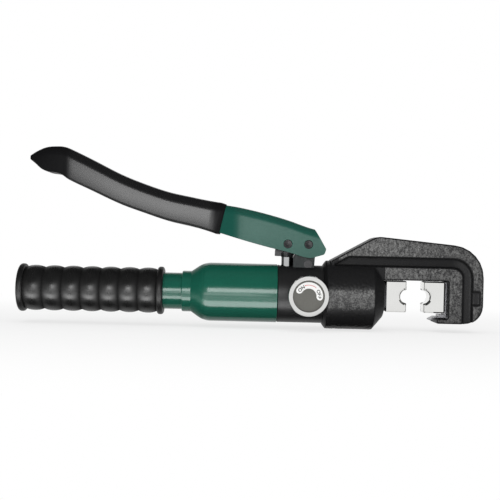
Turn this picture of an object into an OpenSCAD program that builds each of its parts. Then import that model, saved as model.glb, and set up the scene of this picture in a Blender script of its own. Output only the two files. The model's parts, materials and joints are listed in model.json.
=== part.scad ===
// Hand operated hydraulic crimping tool with an open C head.
// Millimetres, +Z up. The origin lies on the long axis, at the seam between
// barrel and pump body. +X runs to the head, the lever lies on the +Z side and
// the release knob on the -Y side.

/* [Body] */
// Outside diameter of the barrel
barrel_d = 40; // [39.5:0.25:41]
// Length of the barrel up to the start of its cone
barrel_len = 50; // [48:0.5:53]
// Length of the cone behind the barrel
cone_len = 8.6; // [8:0.1:10]
// Outside diameter of the ring behind the cone
ring_d = 28; // [27:0.5:30]
// Length of that ring
ring_len = 6.4; // [5.5:0.1:8]
// Outside diameter of the handle tube
tube_d = 25; // [24:0.5:26]
// Bare length of the handle tube between ring and grip
neck_len = 12.6; // [11:0.1:16]
// Length of the pump body between barrel and head
pump_len = 31; // [30.5:0.25:33]

/* [Grip] */
// Length of the rubber grip
grip_len = 99; // [95:1:106]
// Largest diameter of the ribs of the grip
grip_d = 31.2; // [30:0.2:32]
// Diameter of the flanges at both ends of the grip
flange_d = 32.8; // [32:0.2:34]
// Number of ribs on the grip
rib_n = 7; // [5:1:9]

/* [Head] */
// Outside diameter of the collar of the head
collar_d = 47; // [46:0.25:48]
// Length of the collar
collar_len = 41.6; // [41:0.2:44]
// Thickness of the arm of the head
arm_t = 25; // [23:0.5:26]
// Height of the crest of the arm over the axis
crest_z = 40.6; // [39:0.1:43]
// Height of the throat over the axis
throat_z = 11.2; // [11:0.1:12]
// Thickness of the end wall that carries the fixed die
wall_t = 23.6; // [22:0.2:25]
// Depth of the hook under the axis
hook_z = 17.6; // [17:0.2:19]
// Width of the groove along both sides of the arm
groove_w = 6.1; // [5:0.1:6.5]
// Depth of that groove
groove_depth = 2.5; // [1.5:0.1:3]

/* [Ram and dies] */
// Diameter of the ram
ram_d = 23; // [22:0.25:24]
// Bore of the hydraulic cylinder
cylinder_d = 32; // [31:0.25:33]
// Open distance between the two dies
die_gap = 11.5; // [10.5:0.25:12]
// Length of each die along the axis
die_len = 14.5; // [13:0.25:15]
// Height of each die
die_h = 21.4; // [20:0.1:21.8]
// Thickness of each die
die_t = 14; // [12:0.5:16]
// Radius of the crimping notch
notch_r = 4.6; // [3:0.1:5.5]

/* [Lever] */
// Width of the lever channel
lever_w = 22; // [21.5:0.25:24]
// Sheet thickness of the lever channel
lever_wall = 2.5; // [2:0.1:2.7]
// Depth of the lever channel at mid length
lever_h = 20; // [19:0.25:21]
// Reach of the lever behind its fulcrum
lever_reach = 191.3; // [182:0.1:200]
// Rise of the lever over its fulcrum
lever_rise = 62.6; // [61:0.2:66]
// Thickness of the vinyl sleeve on the lever
vinyl_t = 0.9; // [0.7:0.1:1.2]
// Diameter of the lever pins
pin_d = 6; // [5:0.25:6.5]
// Height of the lever pins over the axis
pin_z = 34; // [33.5:0.25:35]
// Distance between fulcrum pin and plunger pin
pin_gap = 14.1; // [13.9:0.1:14.6]

/* [Pump] */
// Distance of the plunger from the barrel seam
plunger_x = 6.5; // [6:0.25:7]
// Diameter of the pump plunger
plunger_d = 8; // [7:0.25:8.5]

/* [Release knob] */
// Diameter of the release knob
knob_d = 26.6; // [25:0.2:27.6]
// Height of the knurled release knob
knob_h = 11.4; // [9:0.2:13]
// Distance of the release knob from the barrel seam
knob_x = 20; // [19.5:0.1:21]
// Number of teeth in the knurl of the knob
knurl_n = 72; // [48:4:90]

/* [Hidden] */
$fn = 64;

// Overrun of each cut past the faces that it opens
over = 1;
// Radial clearance of running fits
run_gap = 0.05;
// Clearance of screwed and fixed seats
seat_gap = 0.1;
// Clearance between parts that pass each other
pass_gap = 0.3;
// Steps on each rounded corner of an outline
arc_n = 6;

// Colours
green = [0.16, 0.36, 0.31];
black = [0.13, 0.13, 0.13];
iron = [0.33, 0.33, 0.33];
steel = [0.72, 0.73, 0.74];
dark_steel = [0.4, 0.4, 0.41];
rubber = [0.1, 0.1, 0.1];
brass = [0.72, 0.58, 0.3];

// Body
barrel_r = barrel_d / 2;
pump_step = 0.3;
pump_r = barrel_r - pump_step;
tube_r = tube_d / 2;
ring_r = ring_d / 2;
shoulder_r = 16;
cone_x = -barrel_len;
ring_x = cone_x - cone_len;
neck_x = ring_x - ring_len;
grip_x = neck_x - neck_len;
tail_x = grip_x - grip_len;
edge_r = 0.6;
// Rear screwed spigot of the pump body, and the oil nipple behind it
barrel_wall = 3;
spigot_r = barrel_r - barrel_wall - seat_gap;
spigot_len = 10;
nipple_r = 8;
nipple_len = 12;
spigot_x = -spigot_len;
nipple_x = spigot_x - nipple_len;
chamber_step = 1.3;
chamber_r = spigot_r - chamber_step;
chamber_x = -44;
// Spigot and bore of the handle tube
tube_spigot_r = 11;
tube_spigot_len = 12;
tube_bore_r = 9.5;
// End of the handle tube and its plug
tail_wall = 3;
plug_head = 0.9;
plug_len = 9;
tube_end_x = tail_x + tail_wall + plug_head + seat_gap;
// Grip ribs
rib_depth = 0.95;
flange_len = 4.3;
flange_edge = 1.7;
rib_pitch = (grip_len - 2 * flange_len) / rib_n;
rib_r = (pow(rib_pitch / 2, 2) + pow(rib_depth, 2)) / (2 * rib_depth);
rib_core_r = grip_d / 2 - rib_depth - edge_r / 2;
grip_bore_r = tube_r + seat_gap;
// Bladder
bladder_wall = 1.4;
bladder_clear = 17;
bladder_taper = 12;
clamp_t = 1.6;
clamp_len = 5;
bladder_x = tube_end_x + plug_len + bladder_clear;

// Head
collar_r = collar_d / 2;
collar_x = pump_len;
collar_end_x = collar_x + collar_len;
collar_cham = 3.2;
collar_cham_len = 2.4;
collar_nose_len = 7.6;
collar_nose_r = 14.5;
thread_step = 0.7;
thread_r = pump_r - thread_step;
thread_len = 9;
gland_wall = 6.6;
ram_proud = 1.4;
clip_space = 1.5;
ram_tip_x = collar_end_x + ram_proud;
fixed_x = ram_tip_x + die_len + die_gap;
die_back_x = fixed_x + die_len;
seat_x = die_back_x + clip_space;
head_x = seat_x + wall_t;
arm_start = 5.2;
arm_angle = 29.2;
arm_fall = 6.6;
crest_x = collar_x + arm_start + (crest_z - collar_r) / tan(arm_angle);
hook_reach = 7.6;
hook_t = 3.4;
crest_r = 12;
top_r = 22;
bottom_r = 12.5;
throat_r = 1.2;
groove_z = 26.4;
groove_rim = 7.6;
groove_x = collar_x + 6.2;
groove_r = 13;
pocket_len = 5.4;
pocket_z = 4.6;
pocket_depth = 1;

// Ram
ram_r = ram_d / 2;
cylinder_r = cylinder_d / 2;
face_x = collar_x + thread_len;
back_gap = 0.5;
piston_len = 7;
piston_x = face_x + back_gap;
piston_end_x = piston_x + piston_len;
cylinder_end_x = collar_end_x - gland_wall;
ram_edge = 1;
seal_w = 3;
seal_depth = 2;
wiper_w = 2.2;
wiper_x = collar_end_x - 4.6;
wiper_depth = 1.5;
return_wire_r = 0.8;
return_turns = 4;

// Dies
stem_r = 4;
stem_len = 8;
socket_len = 8.6;
notch_offset = 0.3;
die_edge = 0.8;
die_cham = 0.9;
notch_cham = 0.7;
snap_r = 3.3;
snap_w = 1;
snap_x = ram_tip_x - 4.5;
clip_t = 0.7;
clip_w = 12;
clip_curl_r = 0.6;
clip_curl_z = 9.9;
clip_gap = 0.65;
clip_x = die_back_x + clip_gap;
clip_lift = 0.35;
clip_foot = 4.1;
clip_foot_t = 2.2;
clip_run = 2.6;
clip_tab = 3.6;
clip_drop = 1.9;
rivet_r = 1.5;
rivet_len = 6;
rivet_head_r = 2;
rivet_head_t = 0.3;
rivet_z = 7;

// Lever and link
fulcrum_x = plunger_x + pin_gap;
pin_r = pin_d / 2;
plate_y = 4.2;
plate_t = 3.2;
plate_back = 10.2;
plate_front = 4.2;
plate_top_r = 5.2;
plate_foot = 6.4;
pad_drop = 2.4;
pad_z = barrel_r - pad_drop;
tongue_w = 7.8;
tongue_r = 4;
link_pin_z = barrel_r + 0.4;
bend_r = 6.2;
inner_bend_r = bend_r - lever_wall;
vinyl_r = bend_r + vinyl_t;
vinyl_low_r = 1.6;
nose_top = 4.2;
nose_reach = 12;
nose_drop = 2.9;
nose_r = 1.6;
chin_reach = 10.9;
chin_drop = 6.6;
chin_r = 2.6;
lever_lobe = 9.2;
lobe_reach = 2;
lobe_r = 6;
sleeve_share = 0.307;
sleeve_lean_share = 0.22;
channel_end_share = 0.9;
cavity_end_share = 0.905;
sub_n = 2;
ring_n = 4;
// Stations of the lever: distance behind the fulcrum as a share of the reach,
// mid line as a share of the rise, depth and width as shares of the channel
lever_shares = [
  [-0.069, 0, 0.84, 1],
  [0, 0.02, 1.03, 1],
  [0.073, 0.086, 1.08, 1],
  [0.158, 0.151, 1.11, 1],
  [0.244, 0.213, 1.07, 1],
  [0.327, 0.267, 0.96, 1],
  [0.416, 0.326, 0.91, 1],
  [0.501, 0.379, 0.9, 1],
  [0.587, 0.46, 0.9, 1],
  [0.673, 0.555, 0.93, 1],
  [0.777, 0.702, 0.97, 1],
  [0.851, 0.804, 0.98, 1],
  [0.878, 0.844, 0.9, 1],
  [0.9, 0.86, 0.835, 1],
  [0.933, 0.863, 0.775, 0.97],
  [0.956, 0.867, 0.625, 0.9],
  [0.979, 0.877, 0.33, 0.72],
  [1, 0.88, 0.05, 0.4]
];

// Pump
plunger_r = plunger_d / 2;
plunger_low = -9;
bore_wall = 5.7;
plunger_bore_z = bore_wall - pump_r;
gland_r = 6;
gland_drop = 2.7;
gland_top = barrel_r - gland_drop;
gland_len = 8;
gland_seal_len = 3;
neck_r = 5.5;
neck_drop = 5.5;
neck_z = pin_z - neck_drop;
neck_h = 3.5;
eye_t = 7.6;
eye_back = 7.7;
eye_front = 6.9;
eye_up = 5.5;
eye_low = 6.2;
eye_r = 3.6;
heel_drop = 8.4;
heel_z = pin_z - heel_drop;
heel_w = 4.4;
heel_lip = 0.8;
slot_run = 1.8;
spacer_r = 4.5;
bush_r = 4.6;
washer_r = 5;

// Valves
pocket_r = 3;
port_r = 1.5;
ball_r = 2.5;
wire_r = 0.35;
coil_r = 1.9;
valve_turns = 4;
seat_sink = sqrt(pow(ball_r, 2) - pow(port_r, 2)) + run_gap;
inlet_step_x = -3;
inlet_seat_x = -14;
outlet_wall = 8;
outlet_z = outlet_wall - thread_r;
outlet_step_x = collar_x - 3;
screw_len = 2.8;
relief_y = 6.4;
relief_wall = 6.3;
relief_z = relief_wall - spigot_r;
relief_step_x = 1;
relief_port_r = 1;
relief_ball_r = 2;
relief_sink = sqrt(pow(relief_ball_r, 2) - pow(relief_port_r, 2)) + run_gap;
relief_cross_x = 13;

// Release valve, distances counted from the axis towards -Y
shank_r = 4.5;
shank_end = 10.5;
shank_floor = 8;
tip_r = 2.2;
release_ball_r = 2.1;
release_floor = 3.5;
release_port_r = 1.2;
release_sink = sqrt(pow(release_ball_r, 2) - pow(release_port_r, 2)) + run_gap;
tip_end = release_floor + release_sink + release_ball_r + run_gap;
return_y = 9.5;
cross_y = 1.5;
knob_base = collar_r + 0.9;
knob_hub_r = 8;
hub_gap = 0.6;
knob_top = knob_base + knob_h;
knurl_depth = 0.45;
knob_cham = 1.3;
knob_lip = 0.7;
face_sink = 1.1;
face_y = knob_top - face_sink;
disc_t = 0.5;
disc_r = knob_d / 2 - knob_cham - knob_lip;
knob_screw_r = 1.8;
knob_screw_head_r = 3.4;
knob_screw_head = 1.8;
stud_r = 3.6;
stud_top = face_y - disc_t - knob_screw_head - 2 * seat_gap;
knob_screw_len = 6;
oring_w = 1.8;
oring_depth = 1;
oring_sink = 4.2;
oring_y = pump_r - oring_sink;

function flat(p) = [p[0], p[1]];
function unit(v) = v / norm(v);

// Points of one rounded corner between two neighbours
function corner(a, p, b, r) =
  r == 0 ? [p] :
  let (
    u = unit(a - p),
    v = unit(b - p),
    half = acos(u * v) / 2,
    c = p + unit(u + v) * r / sin(half),
    s = p + u * r / tan(half) - c,
    e = p + v * r / tan(half) - c,
    from = atan2(s[1], s[0]),
    turn = atan2(e[1], e[0]) - from,
    arc = turn > 180 ? turn - 360 : turn < -180 ? turn + 360 : turn
  )
  [for (i = [0:arc_n]) c + r * [cos(from + arc * i / arc_n), sin(from + arc * i / arc_n)]];

// Outline from corner points that each carry a radius as their third value
function rounded(p) =
  let (n = len(p))
  [for (i = [0:n - 1])
    each corner(flat(p[(i + n - 1) % n]), flat(p[i]), flat(p[(i + 1) % n]), p[i][2])];

// Smooth curve through four neighbouring stations
function spline(a, b, c, d, t) =
  b + t * (c - a) / 2
  + t * t * (2 * a - 5 * b + 4 * c - d) / 2
  + t * t * t * (3 * (b - c) + d - a) / 2;

// Lever station at any share of the reach
function station(i, t) =
  let (n = len(lever_shares) - 1)
  spline(lever_shares[max(i - 1, 0)], lever_shares[i], lever_shares[min(i + 1, n)],
    lever_shares[min(i + 2, n)], t);

function stations(from, to) = [
  for (i = [0:len(lever_shares) - 2])
    for (k = [0:sub_n - 1])
      let (s = station(i, k / sub_n))
      if (s[0] > from && s[0] < to) s
];

function at_share(u) = [
  for (i = [0:len(lever_shares) - 2])
    let (a = lever_shares[i][0], b = lever_shares[i + 1][0])
    if (u >= a && u < b) station(i, (u - a) / (b - a))
][0];

function lever_x(s) = fulcrum_x - s[0] * lever_reach;
function lever_z(s) = pin_z + s[1] * lever_rise;
function lever_half(s) = s[2] * lever_h / 2;
function lever_wide(s) = s[3] * lever_w / 2;

// Quarter of an arc in a section, from angle a on
function bend(y, z, r, a) = [
  for (i = [0:ring_n]) [y + r * cos(a + 90 * i / ring_n), z + r * sin(a + 90 * i / ring_n)]
];

// Closed section grown by g, with upper corners r and lower corners k
function closed_ring(s, g, r, k, lean) =
  let (
    w = lever_wide(s) + g,
    h = lever_half(s) + g,
    q = min(r, 2 * w / 3, 2 * h / 3),
    e = min(k, w / 2, h / 2),
    p = concat(bend(w - q, h - q, q, 0), bend(q - w, h - q, q, 90),
      bend(e - w, e - h, e, 180), bend(w - e, e - h, e, 270))
  )
  [for (v = p) [lever_x(s) + lean * v[1], v[0], lever_z(s) + v[1]]];

// Open channel section
function channel_ring(s) =
  let (
    w = lever_wide(s),
    h = lever_half(s),
    o = concat([[w, -h]], bend(w - bend_r, h - bend_r, bend_r, 0),
      bend(bend_r - w, h - bend_r, bend_r, 90), [[-w, -h]]),
    k = lever_wall,
    q = inner_bend_r,
    a = bend(w - k - q, h - k - q, q, 0),
    b = bend(q + k - w, h - k - q, q, 90),
    m = concat(a, b),
    n = len(m)
  )
  [for (v = concat(o, [[k - w, -h]], [for (i = [0:n - 1]) m[n - 1 - i]], [[w - k, -h]]))
    [lever_x(s), v[0], lever_z(s) + v[1]]];

// Solid through a row of rings, whose ends close from both halves of a ring
module loft(rings) {
  n = len(rings[0]);
  m = len(rings);
  e = (m - 1) * n;
  polyhedron(
    points = [for (r = rings) each r],
    faces = concat(
      [for (i = [0:n / 2 - 2])
        each [[i, i + 1, n - 1 - i], [i + 1, n - 2 - i, n - 1 - i]]],
      [for (j = [0:m - 2]) for (i = [0:n - 1])
        each [[j * n + i, (j + 1) * n + i, j * n + (i + 1) % n],
          [j * n + (i + 1) % n, (j + 1) * n + i, (j + 1) * n + (i + 1) % n]]],
      [for (i = [0:n / 2 - 2])
        each [[e + i, e + n - 1 - i, e + i + 1], [e + i + 1, e + n - 1 - i, e + n - 2 - i]]]
    ),
    convexity = 4
  );
}

// Coil spring along +Z from zero height
module coil(mid_r, w, height, turns) {
  sides = 6;
  rings = 8;
  total = turns * rings;
  rise = height - 2 * w;
  loft([for (i = [0:total])
    let (a = 360 * i / rings, z = w + rise * i / total)
    [for (k = [0:sides - 1])
      let (b = -360 * k / sides, r = mid_r + w * cos(b))
      [r * cos(a), r * sin(a), z + w * sin(b)]]]);
}

// Turned body about the long axis from points [x, radius]
module turn_x(p) {
  rotate([0, 90, 0]) rotate_extrude() polygon([for (v = p) [v[1], v[0]]]);
}

// Turned body about the knob axis from points [distance towards -Y, radius]
module turn_y(p) {
  translate([knob_x, 0, 0]) rotate([90, 0, 0])
    rotate_extrude() polygon([for (v = p) [v[1], v[0]]]);
}

// Ring about the plunger axis
module ring_z(r0, r1, z0, z1) {
  translate([plunger_x, 0, z0]) difference() {
    cylinder(r = r1, h = z1 - z0);
    translate([0, 0, -over]) cylinder(r = r0, h = z1 - z0 + 2 * over);
  }
}

// Side outline spread evenly over width w
module side(w) {
  rotate([90, 0, 0]) linear_extrude(height = w, center = true) children();
}

// Round bar across the tool at x, z
module across(x, z, r, y0, y1) {
  translate([x, y1, z]) rotate([90, 0, 0]) cylinder(r = r, h = y1 - y0);
}

// Round bar along the tool
module along(x0, x1, r, y, z) {
  translate([x0, y, z]) rotate([0, 90, 0]) cylinder(r = r, h = x1 - x0);
}

// Ring across the tool, drawn on both sides
module ring_pair(x, z, r0, r1, y0, y1) {
  for (s = [0, 1]) mirror([0, s, 0]) difference() {
    across(x, z, r1, y0, y1);
    across(x, z, r0, y0 - over, y1 + over);
  }
}

module arm_outline() {
  polygon(rounded([
    [collar_x + arm_start, 0, 0],
    [collar_x + arm_start, collar_r, 0],
    [crest_x, crest_z, crest_r],
    [head_x, crest_z - arm_fall, top_r],
    [head_x, -hook_z, bottom_r],
    [seat_x - hook_reach, -hook_z, edge_r],
    [seat_x - hook_reach, hook_t - hook_z, edge_r],
    [seat_x, hook_t - hook_z, 0],
    [seat_x, throat_z, throat_r],
    [cylinder_end_x, throat_z, 0],
    [cylinder_end_x, 0, 0]
  ]));
}

module groove_outline() {
  polygon(rounded([
    [groove_x, groove_z - groove_w, 0],
    [groove_x + groove_w / tan(arm_angle), groove_z, edge_r],
    [head_x - groove_rim, groove_z, groove_r],
    [head_x - groove_rim, -hook_z - over, 0],
    [head_x - groove_rim - groove_w, -hook_z - over, 0],
    [head_x - groove_rim - groove_w, groove_z - groove_w, groove_r - groove_w]
  ]));
}

// Cast head: collar, grooved C arm and hook in one piece
module c_head() {
  color(iron) difference() {
    union() {
      turn_x([
        [collar_x, 0], [collar_x, collar_r - collar_cham],
        [collar_x + collar_cham_len, collar_r], [collar_end_x - collar_nose_len, collar_r],
        [collar_end_x, collar_nose_r], [collar_end_x, 0]
      ]);
      side(arm_t) arm_outline();
    }
    for (s = [-1, 1]) translate([0, s * arm_t / 2, 0]) side(2 * groove_depth) groove_outline();
    for (s = [-1, 1]) translate([0, s * arm_t / 2, 0]) side(2 * pocket_depth)
      translate([head_x - groove_rim - over, -pocket_z]) square([pocket_len + over, 2 * pocket_z]);
    turn_x([
      [collar_x - over, 0], [collar_x - over, thread_r], [face_x, thread_r],
      [face_x, cylinder_r], [cylinder_end_x, cylinder_r],
      [cylinder_end_x, ram_r + run_gap], [wiper_x, ram_r + run_gap],
      [wiper_x, ram_r + wiper_depth], [wiper_x + wiper_w, ram_r + wiper_depth],
      [wiper_x + wiper_w, ram_r + run_gap], [collar_end_x, ram_r + run_gap],
      [collar_end_x, ram_r + pass_gap], [fixed_x, ram_r + pass_gap], [fixed_x, 0]
    ]);
    along(seat_x - over, seat_x + rivet_len, rivet_r, 0, rivet_z);
  }
}

// Pump block with spigots, tongue, plunger bore and valve drillings
module pump_body() {
  color(black) difference() {
    union() {
      turn_x([
        [nipple_x, 0], [nipple_x, nipple_r], [spigot_x, nipple_r], [spigot_x, spigot_r],
        [0, spigot_r], [0, pump_r - edge_r], [edge_r, pump_r], [collar_x, pump_r],
        [collar_x, thread_r - seat_gap], [face_x, thread_r - seat_gap], [face_x, 0]
      ]);
      side(tongue_w) union() {
        translate([fulcrum_x, link_pin_z]) circle(r = tongue_r);
        translate([fulcrum_x - tongue_r, 0]) square([2 * tongue_r, link_pin_z]);
      }
    }
    for (s = [0, 1]) mirror([0, s, 0])
      translate([fulcrum_x - plate_back - seat_gap, plate_y - seat_gap, pad_z])
        cube([plate_back + plate_front + 2 * seat_gap, plate_t + 2 * seat_gap, tongue_r + barrel_r]);
    across(fulcrum_x, link_pin_z, pin_r, -barrel_r, barrel_r);
    translate([plunger_x, 0, plunger_bore_z])
      cylinder(r = plunger_r + run_gap, h = barrel_r - plunger_bore_z + over);
    translate([plunger_x, 0, gland_top - gland_len - gland_seal_len])
      cylinder(r = gland_r + seat_gap, h = barrel_r);
    along(nipple_x - over, inlet_step_x, pocket_r, 0, 0);
    along(inlet_step_x - over, plunger_x, port_r, 0, 0);
    along(outlet_step_x, face_x + over, pocket_r, 0, outlet_z);
    along(plunger_x, outlet_step_x + over, port_r, 0, outlet_z);
    along(spigot_x - over, relief_step_x, pocket_r, relief_y, relief_z);
    along(relief_step_x - over, relief_cross_x, relief_port_r, relief_y, relief_z);
    across(relief_cross_x, relief_z, relief_port_r, 0, relief_y + relief_port_r);
    turn_y([
      [cross_y, 0], [cross_y, release_port_r], [release_floor, release_port_r],
      [release_floor, tip_r + seat_gap], [shank_floor, tip_r + seat_gap],
      [shank_floor, shank_r], [barrel_r + over, shank_r], [barrel_r + over, 0]
    ]);
    along(knob_x, face_x + over, release_port_r, -cross_y - release_port_r, 0);
    along(spigot_x - over, knob_x, release_port_r, -return_y, 0);
    turn_x([
      [spigot_x + oring_w, spigot_r - oring_depth], [spigot_x + oring_w, spigot_r + over],
      [spigot_x + 2 * oring_w, spigot_r + over], [spigot_x + 2 * oring_w, spigot_r - oring_depth]
    ]);
    turn_x([
      [face_x - 2 * oring_w, thread_r - oring_depth], [face_x - 2 * oring_w, thread_r + over],
      [face_x - oring_w, thread_r + over], [face_x - oring_w, thread_r - oring_depth]
    ]);
  }
}

// Painted oil barrel with cone and ring
module barrel() {
  color(green) turn_x(rounded([
    [0, spigot_r + seat_gap, 0],
    [0, barrel_r, 0],
    [cone_x, barrel_r, shoulder_r],
    [ring_x, ring_r, 0],
    [neck_x, ring_r, edge_r],
    [neck_x, tube_spigot_r + seat_gap, 0],
    [chamber_x - cone_len, tube_spigot_r + seat_gap, 0],
    [chamber_x, chamber_r, 0],
    [spigot_x - seat_gap, chamber_r, 0],
    [spigot_x - seat_gap, spigot_r + seat_gap, 0]
  ]));
}

// Painted tube that screws into the ring and carries the grip
module handle_tube() {
  color(green) turn_x([
    [tube_end_x, tube_bore_r], [tube_end_x, tube_r], [neck_x, tube_r],
    [neck_x, tube_spigot_r], [neck_x + tube_spigot_len, tube_spigot_r],
    [neck_x + tube_spigot_len, tube_bore_r]
  ]);
}

// Rubber grip with ribs, flanges and a closed tail
module grip_sleeve() {
  color(rubber) difference() {
    rotate([0, 90, 0]) rotate_extrude() union() {
      translate([0, tail_x + flange_len / 2]) square([rib_core_r, grip_len - flange_len]);
      for (i = [0:rib_n - 1]) intersection() {
        translate([grip_d / 2 - rib_r, tail_x + flange_len + (i + 1 / 2) * rib_pitch])
          circle(r = rib_r);
        translate([0, tail_x + flange_len + i * rib_pitch]) square([grip_d, rib_pitch]);
      }
      for (x = [tail_x, grip_x - flange_len]) polygon(rounded([
        [0, x, 0], [flange_d / 2, x, flange_edge],
        [flange_d / 2, x + flange_len, flange_edge], [0, x + flange_len, 0]
      ]));
    }
    along(tail_x + tail_wall, grip_x + over, grip_bore_r, 0, 0);
  }
}

module tube_plug() {
  color(dark_steel) turn_x([
    [tail_x + tail_wall, 0], [tail_x + tail_wall, tube_r - edge_r],
    [tube_end_x - seat_gap, tube_r - edge_r], [tube_end_x - seat_gap, tube_bore_r - seat_gap],
    [tube_end_x + plug_len, tube_bore_r - seat_gap], [tube_end_x + plug_len, 0]
  ]);
}

// Rubber oil bag on the nipple, reaching into the handle
module oil_bladder() {
  neck = nipple_r + seat_gap;
  bag = chamber_r - bladder_wall;
  tail = tube_bore_r - bladder_wall;
  low = chamber_x - bladder_taper;
  color(rubber) turn_x([
    [spigot_x - over, neck], [spigot_x - over, neck + bladder_wall],
    [nipple_x, neck + bladder_wall], [nipple_x - bladder_wall, bag],
    [chamber_x + over, bag], [low, tail],
    [bladder_x, tail], [bladder_x, 0],
    [bladder_x + bladder_wall, 0], [bladder_x + bladder_wall, tail - bladder_wall],
    [low + bladder_wall, tail - bladder_wall], [chamber_x + bladder_wall, bag - bladder_wall],
    [nipple_x - 2 * bladder_wall, bag - bladder_wall], [nipple_x - bladder_wall, neck]
  ]);
}

module bladder_clamp() {
  r = nipple_r + bladder_wall + 2 * seat_gap;
  x = (nipple_x + spigot_x - clamp_len) / 2;
  color(steel) turn_x([[x, r], [x, r + clamp_t], [x + clamp_len, r + clamp_t], [x + clamp_len, r]]);
}

module seal_ring(x, w, r0, r1) {
  color(rubber) turn_x([[x, r0], [x, r1], [x + w, r1], [x + w, r0]]);
}

module barrel_seal() {
  seal_ring(spigot_x + oring_w + run_gap, oring_w - 2 * run_gap,
    spigot_r - oring_depth + run_gap, spigot_r + run_gap);
}

module head_seal() {
  seal_ring(face_x - 2 * oring_w + run_gap, oring_w - 2 * run_gap,
    thread_r - oring_depth + run_gap, thread_r - run_gap);
}

module gland_nut() {
  color(brass) ring_z(plunger_r + run_gap, gland_r, gland_top - gland_len, gland_top);
}

module gland_seal() {
  color(rubber) ring_z(plunger_r + run_gap, gland_r, gland_top - gland_len - gland_seal_len + run_gap,
    gland_top - gland_len - run_gap);
}

// Two plates that carry the fulcrum pin, standing in pockets of the pump body
module link_plates() {
  color(dark_steel) for (s = [-1, 1]) translate([0, s * (plate_y + plate_t / 2), 0]) difference() {
    side(plate_t) union() {
      polygon(rounded([
        [fulcrum_x - plate_back, pad_z, 0],
        [fulcrum_x + plate_front, pad_z, 0],
        [fulcrum_x + plate_top_r, pin_z, 0],
        [fulcrum_x - plate_top_r, pin_z, 0],
        [fulcrum_x - plate_back, pad_z + plate_foot, edge_r]
      ]));
      translate([fulcrum_x, pin_z]) circle(r = plate_top_r);
    }
    across(fulcrum_x, pin_z, pin_r, -plate_t, plate_t);
    across(fulcrum_x, link_pin_z, pin_r, -plate_t, plate_t);
  }
}

module link_pin() {
  y = plate_y + plate_t + pass_gap;
  color(dark_steel) across(fulcrum_x, link_pin_z, pin_r - run_gap, -y, y);
}

module fulcrum_pin() {
  y = lever_w / 2 - pass_gap;
  color(dark_steel) across(fulcrum_x, pin_z, pin_r - run_gap, -y, y);
}

module fulcrum_bush() {
  color(brass) difference() {
    across(fulcrum_x, pin_z, bush_r, seat_gap - plate_y, plate_y - seat_gap);
    across(fulcrum_x, pin_z, pin_r, -plate_y - over, plate_y + over);
  }
}

module fulcrum_washers() {
  color(steel) ring_pair(fulcrum_x, pin_z, pin_r, washer_r,
    plate_y + plate_t + seat_gap, lever_w / 2 - lever_wall - seat_gap);
}

module hollow_screw(x0, x1, y, z, hole) {
  color(brass) difference() {
    along(x0, x1, pocket_r - run_gap, y, z);
    along(x0 - over, x1 + over, hole, y, z);
  }
}

module valve_spring(x0, x1, y, z) {
  color(steel) translate([x0, y, z]) rotate([0, 90, 0]) coil(coil_r, wire_r, x1 - x0, valve_turns);
}

module valve_ball(x, y, z, r) {
  color(steel) translate([x, y, z]) sphere(r = r);
}

module inlet_seat() { hollow_screw(nipple_x + seat_gap, inlet_seat_x, 0, 0, port_r); }
module inlet_ball() { valve_ball(inlet_seat_x + seat_sink, 0, 0, ball_r); }
module inlet_spring() {
  valve_spring(inlet_seat_x + seat_sink + ball_r + seat_gap, inlet_step_x - seat_gap, 0, 0);
}
module outlet_ball() { valve_ball(outlet_step_x + seat_sink, 0, outlet_z, ball_r); }
module outlet_spring() {
  valve_spring(outlet_step_x + seat_sink + ball_r + seat_gap, face_x - screw_len - 2 * seat_gap,
    0, outlet_z);
}
module outlet_screw() {
  hollow_screw(face_x - screw_len - seat_gap, face_x - seat_gap, 0, outlet_z, port_r);
}
module relief_ball() { valve_ball(relief_step_x - relief_sink, relief_y, relief_z, relief_ball_r); }
module relief_spring() {
  valve_spring(spigot_x + screw_len + 2 * seat_gap,
    relief_step_x - relief_sink - relief_ball_r - seat_gap, relief_y, relief_z);
}
module relief_screw() {
  hollow_screw(spigot_x + seat_gap, spigot_x + screw_len + seat_gap, relief_y, relief_z, relief_port_r);
}
module release_ball() { valve_ball(knob_x, -release_floor - release_sink, 0, release_ball_r); }

module ram_wiper() {
  seal_ring(wiper_x + run_gap, wiper_w - 2 * run_gap, ram_r + run_gap, ram_r + wiper_depth - run_gap);
}

// Coil that pushes the ram back, between piston and front wall
module return_spring() {
  color(steel) translate([piston_end_x + seat_gap, 0, 0]) rotate([0, 90, 0])
    coil((ram_r + cylinder_r) / 2, return_wire_r, cylinder_end_x - piston_end_x - 2 * seat_gap,
      return_turns);
}

// Piston and ram in one turned piece with a socket for the die stem
module ram() {
  color(dark_steel) difference() {
    turn_x([
      [piston_x, 0], [piston_x, cylinder_r - run_gap - ram_edge],
      [piston_x + ram_edge, cylinder_r - run_gap],
      [piston_x + seal_depth, cylinder_r - run_gap],
      [piston_x + seal_depth, cylinder_r - seal_depth],
      [piston_x + seal_depth + seal_w, cylinder_r - seal_depth],
      [piston_x + seal_depth + seal_w, cylinder_r - run_gap],
      [piston_end_x, cylinder_r - run_gap], [piston_end_x, ram_r],
      [ram_tip_x - ram_edge, ram_r], [ram_tip_x, ram_r - ram_edge], [ram_tip_x, 0]
    ]);
    along(ram_tip_x - socket_len, ram_tip_x + over, stem_r + run_gap, 0, 0);
  }
}

module ram_seal() {
  seal_ring(piston_x + seal_depth + run_gap, seal_w - 2 * run_gap,
    cylinder_r - seal_depth + run_gap, cylinder_r - run_gap);
}

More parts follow.
